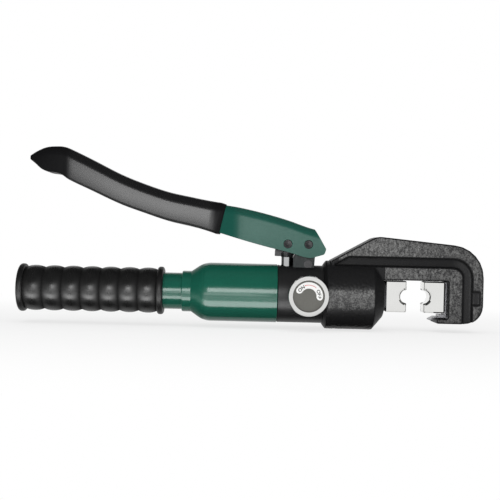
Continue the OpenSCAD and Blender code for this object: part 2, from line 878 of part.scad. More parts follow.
// Die block with its crimping notch towards +X, front face on zero
module die_block() {
  w = die_t / 2;
  difference() {
    intersection() {
      side(die_t) polygon(rounded([
        [-die_len, -die_h / 2, die_edge], [0, -die_h / 2, die_edge],
        [0, die_h / 2, die_edge], [-die_len, die_h / 2, die_edge]
      ]));
      linear_extrude(height = die_h, center = true) polygon([
        [-die_len, -w], [-die_cham, -w], [0, die_cham - w],
        [0, w - die_cham], [-die_cham, w], [-die_len, w]
      ]);
    }
    across(notch_offset, 0, notch_r, -die_t, die_t);
    for (s = [0, 1]) mirror([0, s, 0]) translate([notch_offset, w - notch_cham, 0]) rotate([-90, 0, 0])
      cylinder(r1 = notch_r, r2 = notch_r + 2 * notch_cham, h = 2 * notch_cham);
  }
}

module moving_die() {
  color(steel) difference() {
    union() {
      translate([ram_tip_x + die_len, 0, 0]) die_block();
      along(ram_tip_x - stem_len, ram_tip_x + over, stem_r, 0, 0);
    }
    difference() {
      along(snap_x, snap_x + snap_w, stem_r + over, 0, 0);
      along(snap_x - over, snap_x + snap_w + over, snap_r, 0, 0);
    }
  }
}

module die_snap_ring() {
  seal_ring(snap_x + run_gap, snap_w - 2 * run_gap, snap_r + run_gap, stem_r);
}

module fixed_die() {
  color(steel) translate([fixed_x, 0, 0]) mirror([1, 0, 0]) die_block();
}

// Bent spring clip behind and under the fixed die
module die_clip() {
  low = hook_t - hook_z + clip_lift;
  foot_x = clip_x - clip_foot;
  run_x = foot_x - clip_run;
  curl_x = clip_x + clip_t - clip_curl_r;
  color(steel) difference() {
    union() {
      across(curl_x, clip_curl_z, clip_curl_r, -clip_w / 2, clip_w / 2);
      side(clip_w) polygon([
        [clip_x, clip_curl_z], [clip_x + clip_t, clip_curl_z], [clip_x + clip_t, low],
        [run_x, low], [run_x - clip_tab, low - clip_drop],
        [run_x - clip_tab, low - clip_drop + clip_t],
        [run_x, low + clip_t], [foot_x, low + clip_t], [foot_x, low + clip_foot_t],
        [clip_x, low + clip_foot_t]
      ]);
    }
    along(clip_x - over, clip_x + clip_t + over, rivet_r + seat_gap, 0, rivet_z);
  }
}

module clip_rivet() {
  head_x = clip_x - 2 * seat_gap;
  color(dark_steel) union() {
    along(head_x - rivet_head_t, head_x, rivet_head_r, 0, rivet_z);
    along(head_x - rivet_head_t, seat_x + rivet_len - seat_gap, rivet_r - run_gap, 0, rivet_z);
  }
}

// Pressed channel of the lever with its nose trimmed and both pin holes
module lever_channel() {
  rows = concat([lever_shares[0]], stations(lever_shares[0][0], channel_end_share),
    [at_share(channel_end_share)]);
  color(green) difference() {
    loft([for (s = rows) channel_ring(s)]);
    side(2 * lever_w) difference() {
      translate([fulcrum_x, 0]) square([lever_reach, pin_z + lever_rise]);
      polygon(rounded([
        [fulcrum_x - over, pin_z - lever_lobe, 0],
        [fulcrum_x + lobe_reach, pin_z - lever_lobe, lobe_r],
        [fulcrum_x + chin_reach, pin_z - chin_drop, chin_r],
        [fulcrum_x + nose_reach, pin_z - nose_drop, nose_r],
        [fulcrum_x + nose_top, pin_z + lever_h / 2 + edge_r / 2, edge_r],
        [fulcrum_x - over, pin_z + lever_h, 0]
      ]));
    }
    across(fulcrum_x, pin_z, pin_r, -lever_w, lever_w);
    across(plunger_x, pin_z, pin_r, -lever_w, lever_w);
  }
}

// Vinyl sleeve over the long end of the lever
module lever_grip() {
  first = at_share(sleeve_share);
  last = at_share(cavity_end_share);
  inner = concat([first], stations(sleeve_share + sleeve_lean_share / 10, channel_end_share), [last]);
  outer = concat([first], stations(sleeve_share + sleeve_lean_share / 10, 1),
    [lever_shares[len(lever_shares) - 1]]);
  n = len(inner);
  color(black) loft(concat(
    [for (i = [0:n - 1]) closed_ring(inner[n - 1 - i], seat_gap, bend_r, seat_gap,
      i == n - 1 ? sleeve_lean_share : 0)],
    [for (i = [0:len(outer) - 1]) closed_ring(outer[i], vinyl_t, vinyl_r, vinyl_low_r,
      i == 0 ? sleeve_lean_share : 0)]
  ));
}

module plunger_pin() {
  y = lever_w / 2 - pass_gap;
  color(dark_steel) across(plunger_x, pin_z, pin_r - run_gap, -y, y);
}

module pin_spacers() {
  color(steel) ring_pair(plunger_x, pin_z, pin_r, spacer_r,
    eye_t / 2 + pass_gap, lever_w / 2 - lever_wall - seat_gap);
}

// Polished plunger with a flat slotted eye
module pump_plunger() {
  color(steel) difference() {
    union() {
      translate([plunger_x, 0, plunger_low]) cylinder(r = plunger_r, h = pin_z - eye_low - plunger_low);
      translate([plunger_x, 0, neck_z - neck_h]) cylinder(r1 = plunger_r, r2 = neck_r, h = neck_h);
      side(eye_t) polygon(rounded([
        [plunger_x - eye_back - heel_lip, heel_z, edge_r],
        [plunger_x - eye_back - heel_lip + heel_w, heel_z, edge_r],
        [plunger_x - eye_back - heel_lip + heel_w, pin_z - eye_low, 0],
        [plunger_x + eye_front, pin_z - eye_low, edge_r],
        [plunger_x + eye_front, pin_z + eye_up, eye_r],
        [plunger_x - eye_back, pin_z + eye_up, eye_r]
      ]));
    }
    for (d = [-slot_run, slot_run]) across(plunger_x + d, pin_z, pin_r + pass_gap, -eye_t, eye_t);
    translate([plunger_x - slot_run, -eye_t, pin_z - pin_r - pass_gap])
      cube([2 * slot_run, 2 * eye_t, 2 * (pin_r + pass_gap)]);
  }
}

// Screwed spindle of the release valve
module release_spindle() {
  color(dark_steel) difference() {
    turn_y([
      [tip_end, 0], [tip_end, tip_r - edge_r], [tip_end + edge_r, tip_r], [shank_end, tip_r],
      [shank_end, shank_r - run_gap],
      [oring_y, shank_r - run_gap], [oring_y, shank_r - oring_depth],
      [oring_y + oring_w, shank_r - oring_depth], [oring_y + oring_w, shank_r - run_gap],
      [barrel_r, shank_r - run_gap], [barrel_r, stud_r], [stud_top, stud_r], [stud_top, 0]
    ]);
    turn_y([
      [stud_top - knob_screw_len, 0], [stud_top - knob_screw_len, knob_screw_r],
      [stud_top + over, knob_screw_r], [stud_top + over, 0]
    ]);
  }
}

module spindle_seal() {
  color(rubber) turn_y([
    [oring_y + run_gap, shank_r - oring_depth + run_gap], [oring_y + run_gap, shank_r - run_gap],
    [oring_y + oring_w - run_gap, shank_r - run_gap],
    [oring_y + oring_w - run_gap, shank_r - oring_depth + run_gap]
  ]);
}

// Knurled knob with a chamfered rim and a recess for the face disc
module release_knob() {
  top_r = knob_d / 2 - knob_cham;
  core_r = knob_d / 2 - knurl_depth - pass_gap;
  color(steel) difference() {
    union() {
      translate([knob_x, -knob_base, 0]) rotate([90, 0, 0]) linear_extrude(height = knob_h - knob_cham)
        polygon([for (i = [0:2 * knurl_n - 1])
          let (a = 180 * i / knurl_n, r = knob_d / 2 - (i % 2) * knurl_depth)
          [r * cos(a), r * sin(a)]]);
      turn_y([
        [pump_r + hub_gap, 0], [pump_r + hub_gap, knob_hub_r], [knob_base + over, knob_hub_r],
        [knob_base + over, core_r], [knob_top - core_r + top_r, core_r], [knob_top, top_r], [knob_top, 0]
      ]);
    }
    turn_y([
      [0, 0], [0, stud_r + run_gap], [stud_top, stud_r + run_gap], [stud_top, knob_screw_head_r + seat_gap],
      [face_y - disc_t, knob_screw_head_r + seat_gap], [face_y - disc_t, disc_r + run_gap],
      [knob_top + over, disc_r + run_gap], [knob_top + over, 0]
    ]);
  }
}

module knob_screw() {
  color(dark_steel) turn_y([
    [stud_top - knob_screw_len + seat_gap, 0], [stud_top - knob_screw_len + seat_gap, knob_screw_r - run_gap],
    [stud_top, knob_screw_r - run_gap], [stud_top, knob_screw_head_r],
    [stud_top + knob_screw_head, knob_screw_head_r], [stud_top + knob_screw_head, 0]
  ]);
}

module knob_disc() {
  color(iron) turn_y([[face_y - disc_t, 0], [face_y - disc_t, disc_r], [face_y, disc_r], [face_y, 0]]);
}

c_head();
pump_body();
barrel();
handle_tube();
grip_sleeve();
tube_plug();
oil_bladder();
bladder_clamp();
barrel_seal();
head_seal();
gland_nut();
gland_seal();
link_plates();
link_pin();
fulcrum_pin();
fulcrum_bush();
fulcrum_washers();
inlet_seat();
inlet_ball();
inlet_spring();
outlet_ball();
outlet_spring();
outlet_screw();
relief_ball();
relief_spring();
relief_screw();
release_ball();
ram_wiper();
return_spring();
fixed_die();
clip_rivet();
die_clip();
lever_channel();
lever_grip();
plunger_pin();
pin_spacers();
pump_plunger();
release_spindle();
spindle_seal();
release_knob();
knob_screw();
knob_disc();
ram();
ram_seal();
moving_die();
die_snap_ring();
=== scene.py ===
"""Dressed model of a hand operated hydraulic crimping tool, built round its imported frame.

All sizes are millimetres in the frame's own axes: +X to the head, +Z to the lever, -Y to the knob.
"""

import json
import logging
import math
from dataclasses import dataclass
from enum import Enum
from typing import Callable, Iterable, Optional, Sequence, Union

import bmesh
import bpy
from mathutils import Matrix, Vector, noise

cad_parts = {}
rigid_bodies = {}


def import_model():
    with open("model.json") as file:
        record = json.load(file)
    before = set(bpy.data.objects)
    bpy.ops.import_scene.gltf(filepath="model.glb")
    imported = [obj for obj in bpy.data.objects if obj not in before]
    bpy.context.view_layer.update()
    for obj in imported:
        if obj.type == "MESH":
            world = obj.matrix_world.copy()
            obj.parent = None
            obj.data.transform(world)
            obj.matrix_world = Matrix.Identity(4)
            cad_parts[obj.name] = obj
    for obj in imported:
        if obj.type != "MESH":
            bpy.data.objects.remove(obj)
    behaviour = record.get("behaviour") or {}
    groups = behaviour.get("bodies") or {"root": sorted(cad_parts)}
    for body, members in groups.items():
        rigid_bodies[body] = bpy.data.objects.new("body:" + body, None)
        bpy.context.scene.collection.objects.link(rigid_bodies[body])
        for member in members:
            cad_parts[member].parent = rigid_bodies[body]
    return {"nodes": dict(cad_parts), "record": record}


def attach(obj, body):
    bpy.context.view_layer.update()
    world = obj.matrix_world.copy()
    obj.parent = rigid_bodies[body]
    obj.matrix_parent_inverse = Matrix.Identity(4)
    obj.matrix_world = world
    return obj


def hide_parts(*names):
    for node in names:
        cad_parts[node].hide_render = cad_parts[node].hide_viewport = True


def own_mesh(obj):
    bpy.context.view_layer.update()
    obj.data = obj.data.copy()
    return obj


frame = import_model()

MM = 0.001
CREASE_DEG = 32.0
FLAT_DEG = 0.5
SOFT_DEG = 35.0
SOFT_STEPS = 2
ROUND_STEPS = 8
TURN_STEPS = 144
BORE_STEPS = 64
WELD = 0.002
BARELY = 1e-6

Point = tuple[float, float]
Place = tuple[float, float, float]
Colour = tuple[float, float, float]
Shape = bmesh.types.BMesh
Piece = bpy.types.Object
Socket = bpy.types.NodeSocket
Inputs = dict[Union[str, int], Union[float, Sequence[float], Socket]]

log = logging.getLogger("crimping_tool")

BODY_OF = {
    node: body
    for body, nodes in frame["record"]["behaviour"]["bodies"].items()
    for node in nodes
}


class Grain(Enum):
    """Scale of a finish's fine grain along each axis, which sets the way that it runs."""

    SPECKLE = (1.0, 1.0, 1.0)
    UPRIGHT = (1.0, 1.0, 0.06)
    TURNED = (1.0, 0.03, 0.03)
    ROUND_PLUNGER = (0.03, 0.03, 1.0)


class Cut(Enum):
    """Ways that a tool mesh works on a piece."""

    AWAY = "DIFFERENCE"
    KEEP = "INTERSECT"
    JOIN = "UNION"


class Seen(Enum):
    """Kinds of light path that meet a lamp, as (shading, mirroring)."""

    SHADING = (True, False)
    MIRRORED = (False, True)


@dataclass(frozen=True)
class Wiring:
    """Node tree of a material or of the world, which is filled node by node."""

    tree: bpy.types.NodeTree

    def fill(self, node: bpy.types.Node, inputs: Inputs) -> None:
        """Links or sets the inputs of a node.

        Args:
            node: The node.
            inputs: Socket or constant for each input.
        """
        for key, value in inputs.items():
            if isinstance(value, Socket):
                self.tree.links.new(value, node.inputs[key])
            else:
                node.inputs[key].default_value = value

    def add(self, kind: str, inputs: Inputs, **settings: str) -> bpy.types.Node:
        """Adds a node.

        Args:
            kind: Type of the node.
            inputs: Socket or constant for each input.
            settings: Choices of the node.

        Returns:
            The node.
        """
        node = self.tree.nodes.new(f"ShaderNode{kind}")
        for name, value in settings.items():
            setattr(node, name, value)
        self.fill(node, inputs)
        return node


def node_material(name: str) -> bpy.types.Material:
    """Makes a material with its shader and its output.

    Args:
        name: Name of the material.

    Returns:
        The new material.
    """
    material = bpy.data.materials.new(name)
    material.use_nodes = True
    return material


@dataclass(frozen=True)
class Finish:
    """Surface finish with a fine grain, a slow drift of tone and a little relief."""

    name: str
    slot: str
    colour: Colour
    deep: Colour
    roughness: float
    polish: float = 0.05
    polish_range: Point = (0.25, 0.75)
    metallic: float = 0.0
    specular: float = 0.4
    grain: Grain = Grain.SPECKLE
    grain_mm: float = 1.0
    grain_detail: float = 4.0
    relief_mm: float = 0.01
    drift_mm: float = 22.0
    drift_detail: float = 2.0
    drift_share: float = 0.35
    middle: float = 0.5
    spread: float = 0.2
    mask: str = ""
    bare_roughness: float = 0.25
    bare_specular: float = 0.2
    bare_relief: float = 1.0

    def material(self) -> bpy.types.Material:
        """Builds the node material, or finds the one that is there already.

        Returns:
            The material of this finish.
        """
        if self.name in bpy.data.materials:
            return bpy.data.materials[self.name]
        material = node_material(self.name)
        material.diffuse_color = (*self.colour, 1.0)
        wiring = Wiring(material.node_tree)
        shader = material.node_tree.nodes["Principled BSDF"]
        wiring.fill(shader, {"Metallic": self.metallic, "Specular IOR Level": self.specular})
        fine = self.pattern(wiring, self.grain_mm, self.grain, self.grain_detail)
        slow = self.pattern(wiring, self.drift_mm, Grain.SPECKLE, self.drift_detail)
        blend = {"Factor": self.drift_share, "A": fine, "B": slow}
        tone = wiring.add("Mix", blend).outputs["Result"]
        rough = wiring.add("MapRange", {
            "Value": tone, "From Min": self.polish_range[0], "From Max": self.polish_range[1],
            "To Min": self.roughness + self.polish, "To Max": self.roughness - self.polish,
        }).outputs["Result"]
        bump = wiring.add("Bump", {"Distance": self.relief_mm * MM, "Height": fine})
        if self.mask:
            tone = self.where_masked(wiring, 0.0, tone)
            rough = self.where_masked(wiring, self.bare_roughness, rough)
            shine = self.where_masked(wiring, self.bare_specular, self.specular)
            wiring.fill(shader, {"Specular IOR Level": shine})
            wiring.fill(bump, {"Strength": self.where_masked(wiring, self.bare_relief, 1.0)})
        wiring.fill(shader, {
            "Base Color": self.two_tone(wiring, tone), "Roughness": rough, "Normal": bump.outputs["Normal"],
        })
        return material

    def pattern(self, wiring: Wiring, size_mm: float, grain: Grain, detail: float) -> Socket:
        """Adds a noise pattern in the frame's own coordinates.

        Args:
            wiring: Nodes of the material.
            size_mm: Size of the pattern's grains.
            grain: Way that the grains run.
            detail: Octaves of the noise.

        Returns:
            The pattern's value, between 0 and 1.
        """
        place = wiring.add("TexCoord", {}).outputs["Object"]
        stretched = wiring.add("Mapping", {"Vector": place, "Scale": grain.value}).outputs["Vector"]
        inputs = {"Vector": stretched, "Scale": 1.0 / (size_mm * MM), "Detail": detail}
        return wiring.add("TexNoise", inputs).outputs["Fac"]

    def where_masked(self, wiring: Wiring, outside: float, inside: Union[float, Socket]) -> Socket:
        """Keeps a value where the mesh's own mask says so.

        Args:
            wiring: Nodes of the material.
            outside: Value where the mask is 0.
            inside: Value where the mask is 1.

        Returns:
            The value between both.
        """
        mask = wiring.add("Attribute", {}, attribute_name=self.mask).outputs["Fac"]
        return wiring.add("Mix", {"Factor": mask, "A": outside, "B": inside}).outputs["Result"]

    def two_tone(self, wiring: Wiring, tone: Socket) -> Socket:
        """Turns the pattern into the finish's two colours.

        Args:
            wiring: Nodes of the material.
            tone: Value of the pattern.

        Returns:
            The colour.
        """
        ramp = wiring.add("ValToRGB", {"Fac": tone})
        deep, bright = ramp.color_ramp.elements
        deep.position, bright.position = self.middle - self.spread, self.middle + self.spread
        deep.color, bright.color = (*self.deep, 1.0), (*self.colour, 1.0)
        return ramp.outputs["Color"]


# Its mask paints the cone dull and darker, a painted shade.
BARREL_ENAMEL = Finish(
    "barrel_enamel", "green_enamel", (0.009, 0.1, 0.066), (0.007, 0.086, 0.056),
    roughness=0.17, polish=0.03, grain_mm=1.4, relief_mm=0.004,
    mask="barrel_painted_cone_shade", bare_roughness=0.3, bare_specular=0.08,
)
# The mask paints the flank next to the sleeve dull and darker, a painted shade where the front lamp's
# reflection stops.
LEVER_ENAMEL = Finish(
    "lever_enamel", "green_enamel", (0.01, 0.08, 0.058), (0.008, 0.068, 0.05),
    roughness=0.36, specular=0.23, grain_mm=1.2, relief_mm=0.006,
    mask="lever_painted_shade_edge", bare_roughness=0.5, bare_specular=0.02,
)
PUMP_BLACK = Finish(
    "pump_black", "black_body", (0.016, 0.016, 0.0165), (0.01, 0.01, 0.0105),
    roughness=0.4, polish=0.06, specular=0.22, grain=Grain.TURNED, grain_mm=0.5, relief_mm=0.006,
)
# Its light colour goes only where the mask lets it, which paints the casting's sheen, highlight and shade.
HEAD_CASTING = Finish(
    "head_casting", "cast_head", (0.108, 0.108, 0.106), (0.01, 0.01, 0.0105),
    roughness=0.38, polish=0.1, specular=0.3, grain_mm=0.9, relief_mm=0.12, drift_mm=4.0, spread=0.1,
    mask="cast_skin_and_painted_light", bare_roughness=0.4, bare_specular=0.07, bare_relief=0.3,
)
DIE_GROUND = Finish(
    "die_ground", "die_steel", (0.785, 0.785, 0.77), (0.725, 0.725, 0.71),
    roughness=0.09, polish=0.02, metallic=1.0, grain=Grain.UPRIGHT, grain_mm=0.35, relief_mm=0.002,
)
GRIP_RUBBER = Finish(
    "ribbed_rubber", "grip_rubber", (0.011, 0.011, 0.011), (0.007, 0.007, 0.007),
    roughness=0.26, polish=0.04, specular=0.36, grain_mm=0.6,
    mask="rib_crown", bare_roughness=0.7, bare_specular=0.03,
)
SLEEVE_VINYL = Finish(
    "sleeve_vinyl", "lever_vinyl", (0.011, 0.011, 0.0115), (0.007, 0.007, 0.0075),
    roughness=0.24, polish=0.02, specular=0.33, grain_mm=0.8, relief_mm=0.0003,
    mask="sleeve_sheen", bare_roughness=0.4, bare_specular=0.04,
)
SEAL_RUBBER = Finish(
    "seal_black", "seal_rubber", (0.02, 0.02, 0.02), (0.012, 0.012, 0.012),
    roughness=0.5, polish=0.08, grain_mm=0.5,
)
BLACK_STEEL = Finish(
    "black_steel", "dark_steel", (0.024, 0.024, 0.025), (0.014, 0.014, 0.015),
    roughness=0.36, polish=0.08, metallic=0.3, specular=0.25, grain_mm=0.5, relief_mm=0.006,
)
RAM_STEEL = Finish(
    "ram_steel", "dark_steel", (0.16, 0.16, 0.17), (0.1, 0.1, 0.11),
    roughness=0.26, polish=0.06, metallic=1.0, grain=Grain.TURNED, grain_mm=0.3, relief_mm=0.003,
)
LINK_STEEL = Finish(
    "link_steel", "dark_steel", (0.017, 0.019, 0.019), (0.01, 0.011, 0.011),
    roughness=0.4, polish=0.08, metallic=0.9, grain=Grain.UPRIGHT, grain_mm=0.4, relief_mm=0.005,
)
SPRING_BRIGHT = Finish(
    "spring_bright", "spring_steel", (0.66, 0.67, 0.68), (0.5, 0.51, 0.52),
    roughness=0.28, polish=0.06, metallic=1.0, grain=Grain.UPRIGHT, grain_mm=0.4, relief_mm=0.003,
)
CLIP_STEEL = Finish(
    "clip_steel", "spring_steel", (0.24, 0.24, 0.25), (0.15, 0.15, 0.16),
    roughness=0.3, polish=0.08, metallic=1.0, grain=Grain.UPRIGHT, grain_mm=0.5, relief_mm=0.005,
)
PLUNGER_CHROME = Finish(
    "plunger_bright", "plunger_chrome", (0.5, 0.505, 0.51), (0.44, 0.445, 0.45),
    roughness=0.12, polish=0.03, metallic=1.0, grain=Grain.ROUND_PLUNGER, grain_mm=0.3, relief_mm=0.001,
)
KNOB_BRIGHT = Finish(
    "knob_bright", "knob_metal", (0.75, 0.75, 0.74), (0.66, 0.66, 0.65),
    roughness=0.07, polish=0.02, metallic=1.0, grain_mm=0.4, relief_mm=0.0005,
)
KNOB_GREY = Finish(
    "knob_grey", "knob_face", (0.121, 0.119, 0.108), (0.105, 0.103, 0.094),
    roughness=0.5, specular=0.06, grain_mm=0.5, relief_mm=0.004,
)
LABEL_WHITE = Finish(
    "label_white", "knob_face", (0.76, 0.76, 0.75), (0.7, 0.7, 0.69),
    roughness=0.5, polish=0.04, specular=0.1, grain_mm=0.6, relief_mm=0.002,
)
LABEL_INK = Finish(
    "label_ink", "knob_face", (0.04, 0.04, 0.04), (0.03, 0.03, 0.03),
    roughness=0.5, polish=0.04, specular=0.1, grain_mm=0.4, relief_mm=0.002,
)
LABEL_RED = Finish(
    "label_red", "knob_face", (0.6, 0.1, 0.1), (0.48, 0.08, 0.08),
    roughness=0.5, polish=0.04, specular=0.1, grain_mm=0.4, relief_mm=0.002,
)
VALVE_BRASS = Finish(
    "brass_bright", "valve_brass", (0.72, 0.55, 0.27), (0.58, 0.43, 0.2),
    roughness=0.3, polish=0.07, metallic=1.0, grain_mm=0.4, relief_mm=0.004,
)

BRIGHT_METAL = (DIE_GROUND, PLUNGER_CHROME, KNOB_BRIGHT)
OVER_FLOOR = BRIGHT_METAL + (LEVER_ENAMEL, SLEEVE_VINYL)


@dataclass(frozen=True)
class Spindle:
    """Axis that a turned piece spins about."""

    origin: Place
    along: Place
    side: Place
    up: Place

    def place(self, along: float, radius: float, turn: float) -> Vector:
        """Finds a point from its distance along the axis, its radius and its turn in radians."""
        out = Vector(self.side) * math.cos(turn) + Vector(self.up) * math.sin(turn)
        return Vector(self.origin) + Vector(self.along) * along + out * radius


TOOL_AXIS = Spindle((0, 0, 0), (1, 0, 0), (0, 1, 0), (0, 0, 1))


def pin_axis(x: float, z: float) -> Spindle:
    """Axis of a pin that lies across the tool."""
    return Spindle((x, 0, z), (0, -1, 0), (1, 0, 0), (0, 0, 1))


def fade(value: float, start: float, end: float) -> float:
    """Rises smoothly from 0 at the start to 1 at the end."""
    share = min(max((value - start) / (end - start), 0.0), 1.0)
    return share * share * (3 - 2 * share)


def spaced(start: float, end: float, steps: int) -> list[float]:
    """Lists values at even steps, with both ends."""
    return [start + (end - start) * k / steps for k in range(steps + 1)]


def rounded(corners: Sequence[Place], steps: int = ROUND_STEPS) -> list[Point]:
    """Draws a closed outline and rounds each corner by the radius it carries.

    Args:
        corners: Points as (a, b, radius), in order.
        steps: Number of chords on each rounded corner.

    Returns:
        The outline's points.
    """
    outline: list[Point] = []
    for i, (a, b, radius) in enumerate(corners):
        if radius == 0:
            outline.append((a, b))
            continue
        here = Vector((a, b))
        back = (Vector(corners[i - 1][:2]) - here).normalized()
        ahead = (Vector(corners[(i + 1) % len(corners)][:2]) - here).normalized()
        half = back.angle(ahead) / 2
        centre = here + (back + ahead).normalized() * radius / math.sin(half)
        start = here + back * radius / math.tan(half) - centre
        end = here + ahead * radius / math.tan(half) - centre
        first = math.atan2(start.y, start.x)
        sweep = (math.atan2(end.y, end.x) - first + math.pi) % math.tau - math.pi
        for turn in spaced(first, first + sweep, steps):
            outline.append((centre.x + radius * math.cos(turn), centre.y + radius * math.sin(turn)))
    return outline


def stepped(steps: Sequence[Point], end: float) -> list[Point]:
    """Draws the outline of a stepped rod.

    Args:
        steps: Start and radius of each step, in order.
        end: End of the last step.

    Returns:
        Points as (along, radius).
    """
    outline = [(steps[0][0], 0.0)]
    stops = [start for start, _ in steps[1:]] + [end]
    for (start, radius), stop in zip(steps, stops):
        outline += [(start, radius), (stop, radius)]
    return outline + [(end, 0.0)]


def strip_between(
    bm: Shape, first: Sequence[bmesh.types.BMVert], second: Sequence[bmesh.types.BMVert]
) -> None:
    """Joins two closed rings of the same count, of which one may be a single point.

    Args:
        bm: Mesh that holds both rings.
        first: Vertices of the first ring.
        second: Vertices of the second ring.
    """
    count = max(len(first), len(second))
    for k in range(count):
        after = (k + 1) % count
        ring = [first[k % len(first)], first[after % len(first)]]
        ring += [second[after % len(second)], second[k % len(second)]]
        corners = list(dict.fromkeys(ring))
        if len(corners) > 2:
            bm.faces.new(corners)


def turned(
    outline: Sequence[Point],
    spindle: Spindle = TOOL_AXIS,
    steps: int = TURN_STEPS,
    relief: Optional[Callable[[float, float, float], float]] = None,
) -> Shape:
    """Turns a closed outline about an axis.

    Args:
        outline: Points as (along, radius).
        spindle: Axis of the turned piece.
        steps: Number of facets round the axis.
        relief: Change of radius at (along, radius, turn), for a knurl.

    Returns:
        The turned mesh.
    """
    bm = bmesh.new()
    rings: list[list[bmesh.types.BMVert]] = []
    for along, radius in outline:
        if radius < WELD:
            rings.append([bm.verts.new(spindle.place(along, 0, 0))])
            continue
        ring = []
        for turn in spaced(0, math.tau, steps)[:-1]:
            grown = radius + (relief(along, radius, turn) if relief else 0.0)
            ring.append(bm.verts.new(spindle.place(along, grown, turn)))
        rings.append(ring)
    for ring, following in zip(rings, rings[1:] + rings[:1]):
        if len(ring) > 1 or len(following) > 1:
            strip_between(bm, ring, following)
    return bm


def lofted(rings: Sequence[Sequence[Place]]) -> Shape:
    """Stretches a skin over a row of closed sections and closes both ends.

    Args:
        rings: Sections with the same count of points.

    Returns:
        The closed mesh.
    """
    bm = bmesh.new()
    rows = [[bm.verts.new(p) for p in ring] for ring in rings]
    for first, second in zip(rows, rows[1:]):
        strip_between(bm, first, second)
    bm.faces.new(rows[0])
    bm.faces.new(rows[-1])
    return bm


def plate(outline: Sequence[Point], low: float, high: float) -> Shape:
    """Cuts a plate from a side outline, given as (x, z), between two places across the tool."""
    return lofted([[(x, y, z) for x, z in outline] for y in (low, high)])


def node_copy(node: str) -> Shape:
    """Copies a node's solid in millimetres, with its flat faces made whole again.

    Args:
        node: Name of the node.

    Returns:
        The copied mesh.
    """
    bm = bmesh.new()
    bm.from_mesh(frame["nodes"][node].data)
    bmesh.ops.scale(bm, vec=(1 / MM, 1 / MM, 1 / MM), verts=bm.verts)
    bmesh.ops.remove_doubles(bm, verts=bm.verts, dist=WELD)
    bmesh.ops.dissolve_limit(bm, angle_limit=math.radians(FLAT_DEG), verts=bm.verts, edges=bm.edges)
    return bm


def loose_object(name: str, bm: Shape) -> Piece:
    """Puts a mesh into the scene in metres, with creased edges where it bends sharply.

    Args:
        name: Name of the object.
        bm: Mesh in millimetres, used up here.

    Returns:
        The new object.
    """
    bmesh.ops.scale(bm, vec=(MM, MM, MM), verts=bm.verts)
    bmesh.ops.recalc_face_normals(bm, faces=bm.faces)
    mesh = bpy.data.meshes.new(name)
    bm.to_mesh(mesh)
    bm.free()
    mesh.shade_smooth()
    mesh.set_sharp_from_angle(angle=math.radians(CREASE_DEG))
    obj = bpy.data.objects.new(name, mesh)
    bpy.context.scene.collection.objects.link(obj)
    return obj


def settled_mesh(obj: Piece) -> bpy.types.Mesh:
    """Makes a mesh of an object with its modifiers.

    Args:
        obj: Object to take the shape from.

    Returns:
        The mesh.
    """
    bpy.context.view_layer.update()
    graph = bpy.context.evaluated_depsgraph_get()
    return bpy.data.meshes.new_from_object(obj.evaluated_get(graph))


def settle(obj: Piece) -> None:
    """Bakes an object's modifiers into its mesh."""
    obj.data = settled_mesh(obj)
    obj.modifiers.clear()


def carve(obj: Piece, tool: Shape, way: Cut = Cut.AWAY) -> None:
    """Works on an object with a tool mesh.

    Args:
        obj: Object to cut.
        tool: Mesh of the tool in millimetres, used up here.
        way: Takes the tool's shape away, keeps it alone or joins it on.
    """
    cutter = loose_object("carving_tool", tool)
    cut = obj.modifiers.new("carve", "BOOLEAN")
    cut.operation = way.value
    cut.solver = "EXACT"
    cut.object = cutter
    settle(obj)
    bpy.data.objects.remove(cutter)


def soften(
    obj: Piece, width: float, steps: int = SOFT_STEPS, angle: float = SOFT_DEG, flat: bool = False
) -> None:
    """Breaks an object's sharp edges.

    Args:
        obj: Object to soften.
        width: Width of the broken edge in millimetres.
        steps: Facets on the broken edge.
        angle: Least bend in degrees that counts as sharp.
        flat: Leaves a plain chamfer of full width between flat faces.
    """
    edge = obj.modifiers.new("soft_edges", "BEVEL")
    edge.width = width * MM
    edge.segments = steps
    edge.limit_method = "ANGLE"
    edge.angle_limit = math.radians(angle)
    edge.harden_normals = not flat
    edge.use_clamp_overlap = not flat
    settle(obj)
    if flat:
        obj.data.set_sharp_from_angle(angle=math.radians(CREASE_DEG / 2))


def along_tool(obj: Piece) -> list[float]:
    """Lists the place of each vertex along the tool."""
    return [vertex.co.x / MM for vertex in obj.data.vertices]


def paint_mask(obj: Piece, finish: Finish, shares: Iterable[float]) -> None:
    """Writes the mask that a finish reads from the mesh, with the share at each vertex."""
    mask = obj.data.attributes.new(finish.mask, "FLOAT", "POINT")
    mask.data.foreach_set("value", list(shares))


def dress(obj: Piece, finish: Finish) -> None:
    """Gives a piece its finish.

    Args:
        obj: The piece.
        finish: Its surface.
    """
    obj.data.materials.clear()
    obj.data.materials.append(finish.material())


def hand_over(obj: Piece, finish: Finish, node: str) -> None:
    """Dresses a piece and lets it stand for a node on the node's body.

    Args:
        obj: The finished piece.
        finish: Its surface.
        node: Node that it stands for.
    """
    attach(obj, BODY_OF[node])
    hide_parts(node)
    dress(obj, finish)
    log.info("%s stands for %s", obj.name, node)


def hang_on(obj: Piece, finish: Finish, body: str) -> None:
    """Dresses an added piece and lets it ride on a body.

    Args:
        obj: The finished piece.
        finish: Its surface.
        body: Body that carries it.
    """
    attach(obj, body)
    dress(obj, finish)
    log.info("%s rides on %s", obj.name, body)


def show_copy(node: str, name: str, finish: Finish, edge: float) -> None:
    """Shows a copy of a node's solid with broken edges.

    Args:
        node: Node that the copy stands for.
        name: Name of the piece.
        finish: Its surface.
        edge: Width of the broken edges.
    """
    piece = loose_object(name, node_copy(node))
    soften(piece, edge)
    hand_over(piece, finish, node)


def dress_nodes(finish: Finish, *nodes: str) -> None:
    """Gives nodes that are shown as they are their finish.

    Args:
        finish: Their surface.
        nodes: Names of the nodes.
    """
    for node in nodes:
        dress(frame["nodes"][node], finish)
        log.info("%s keeps its own solid", node)


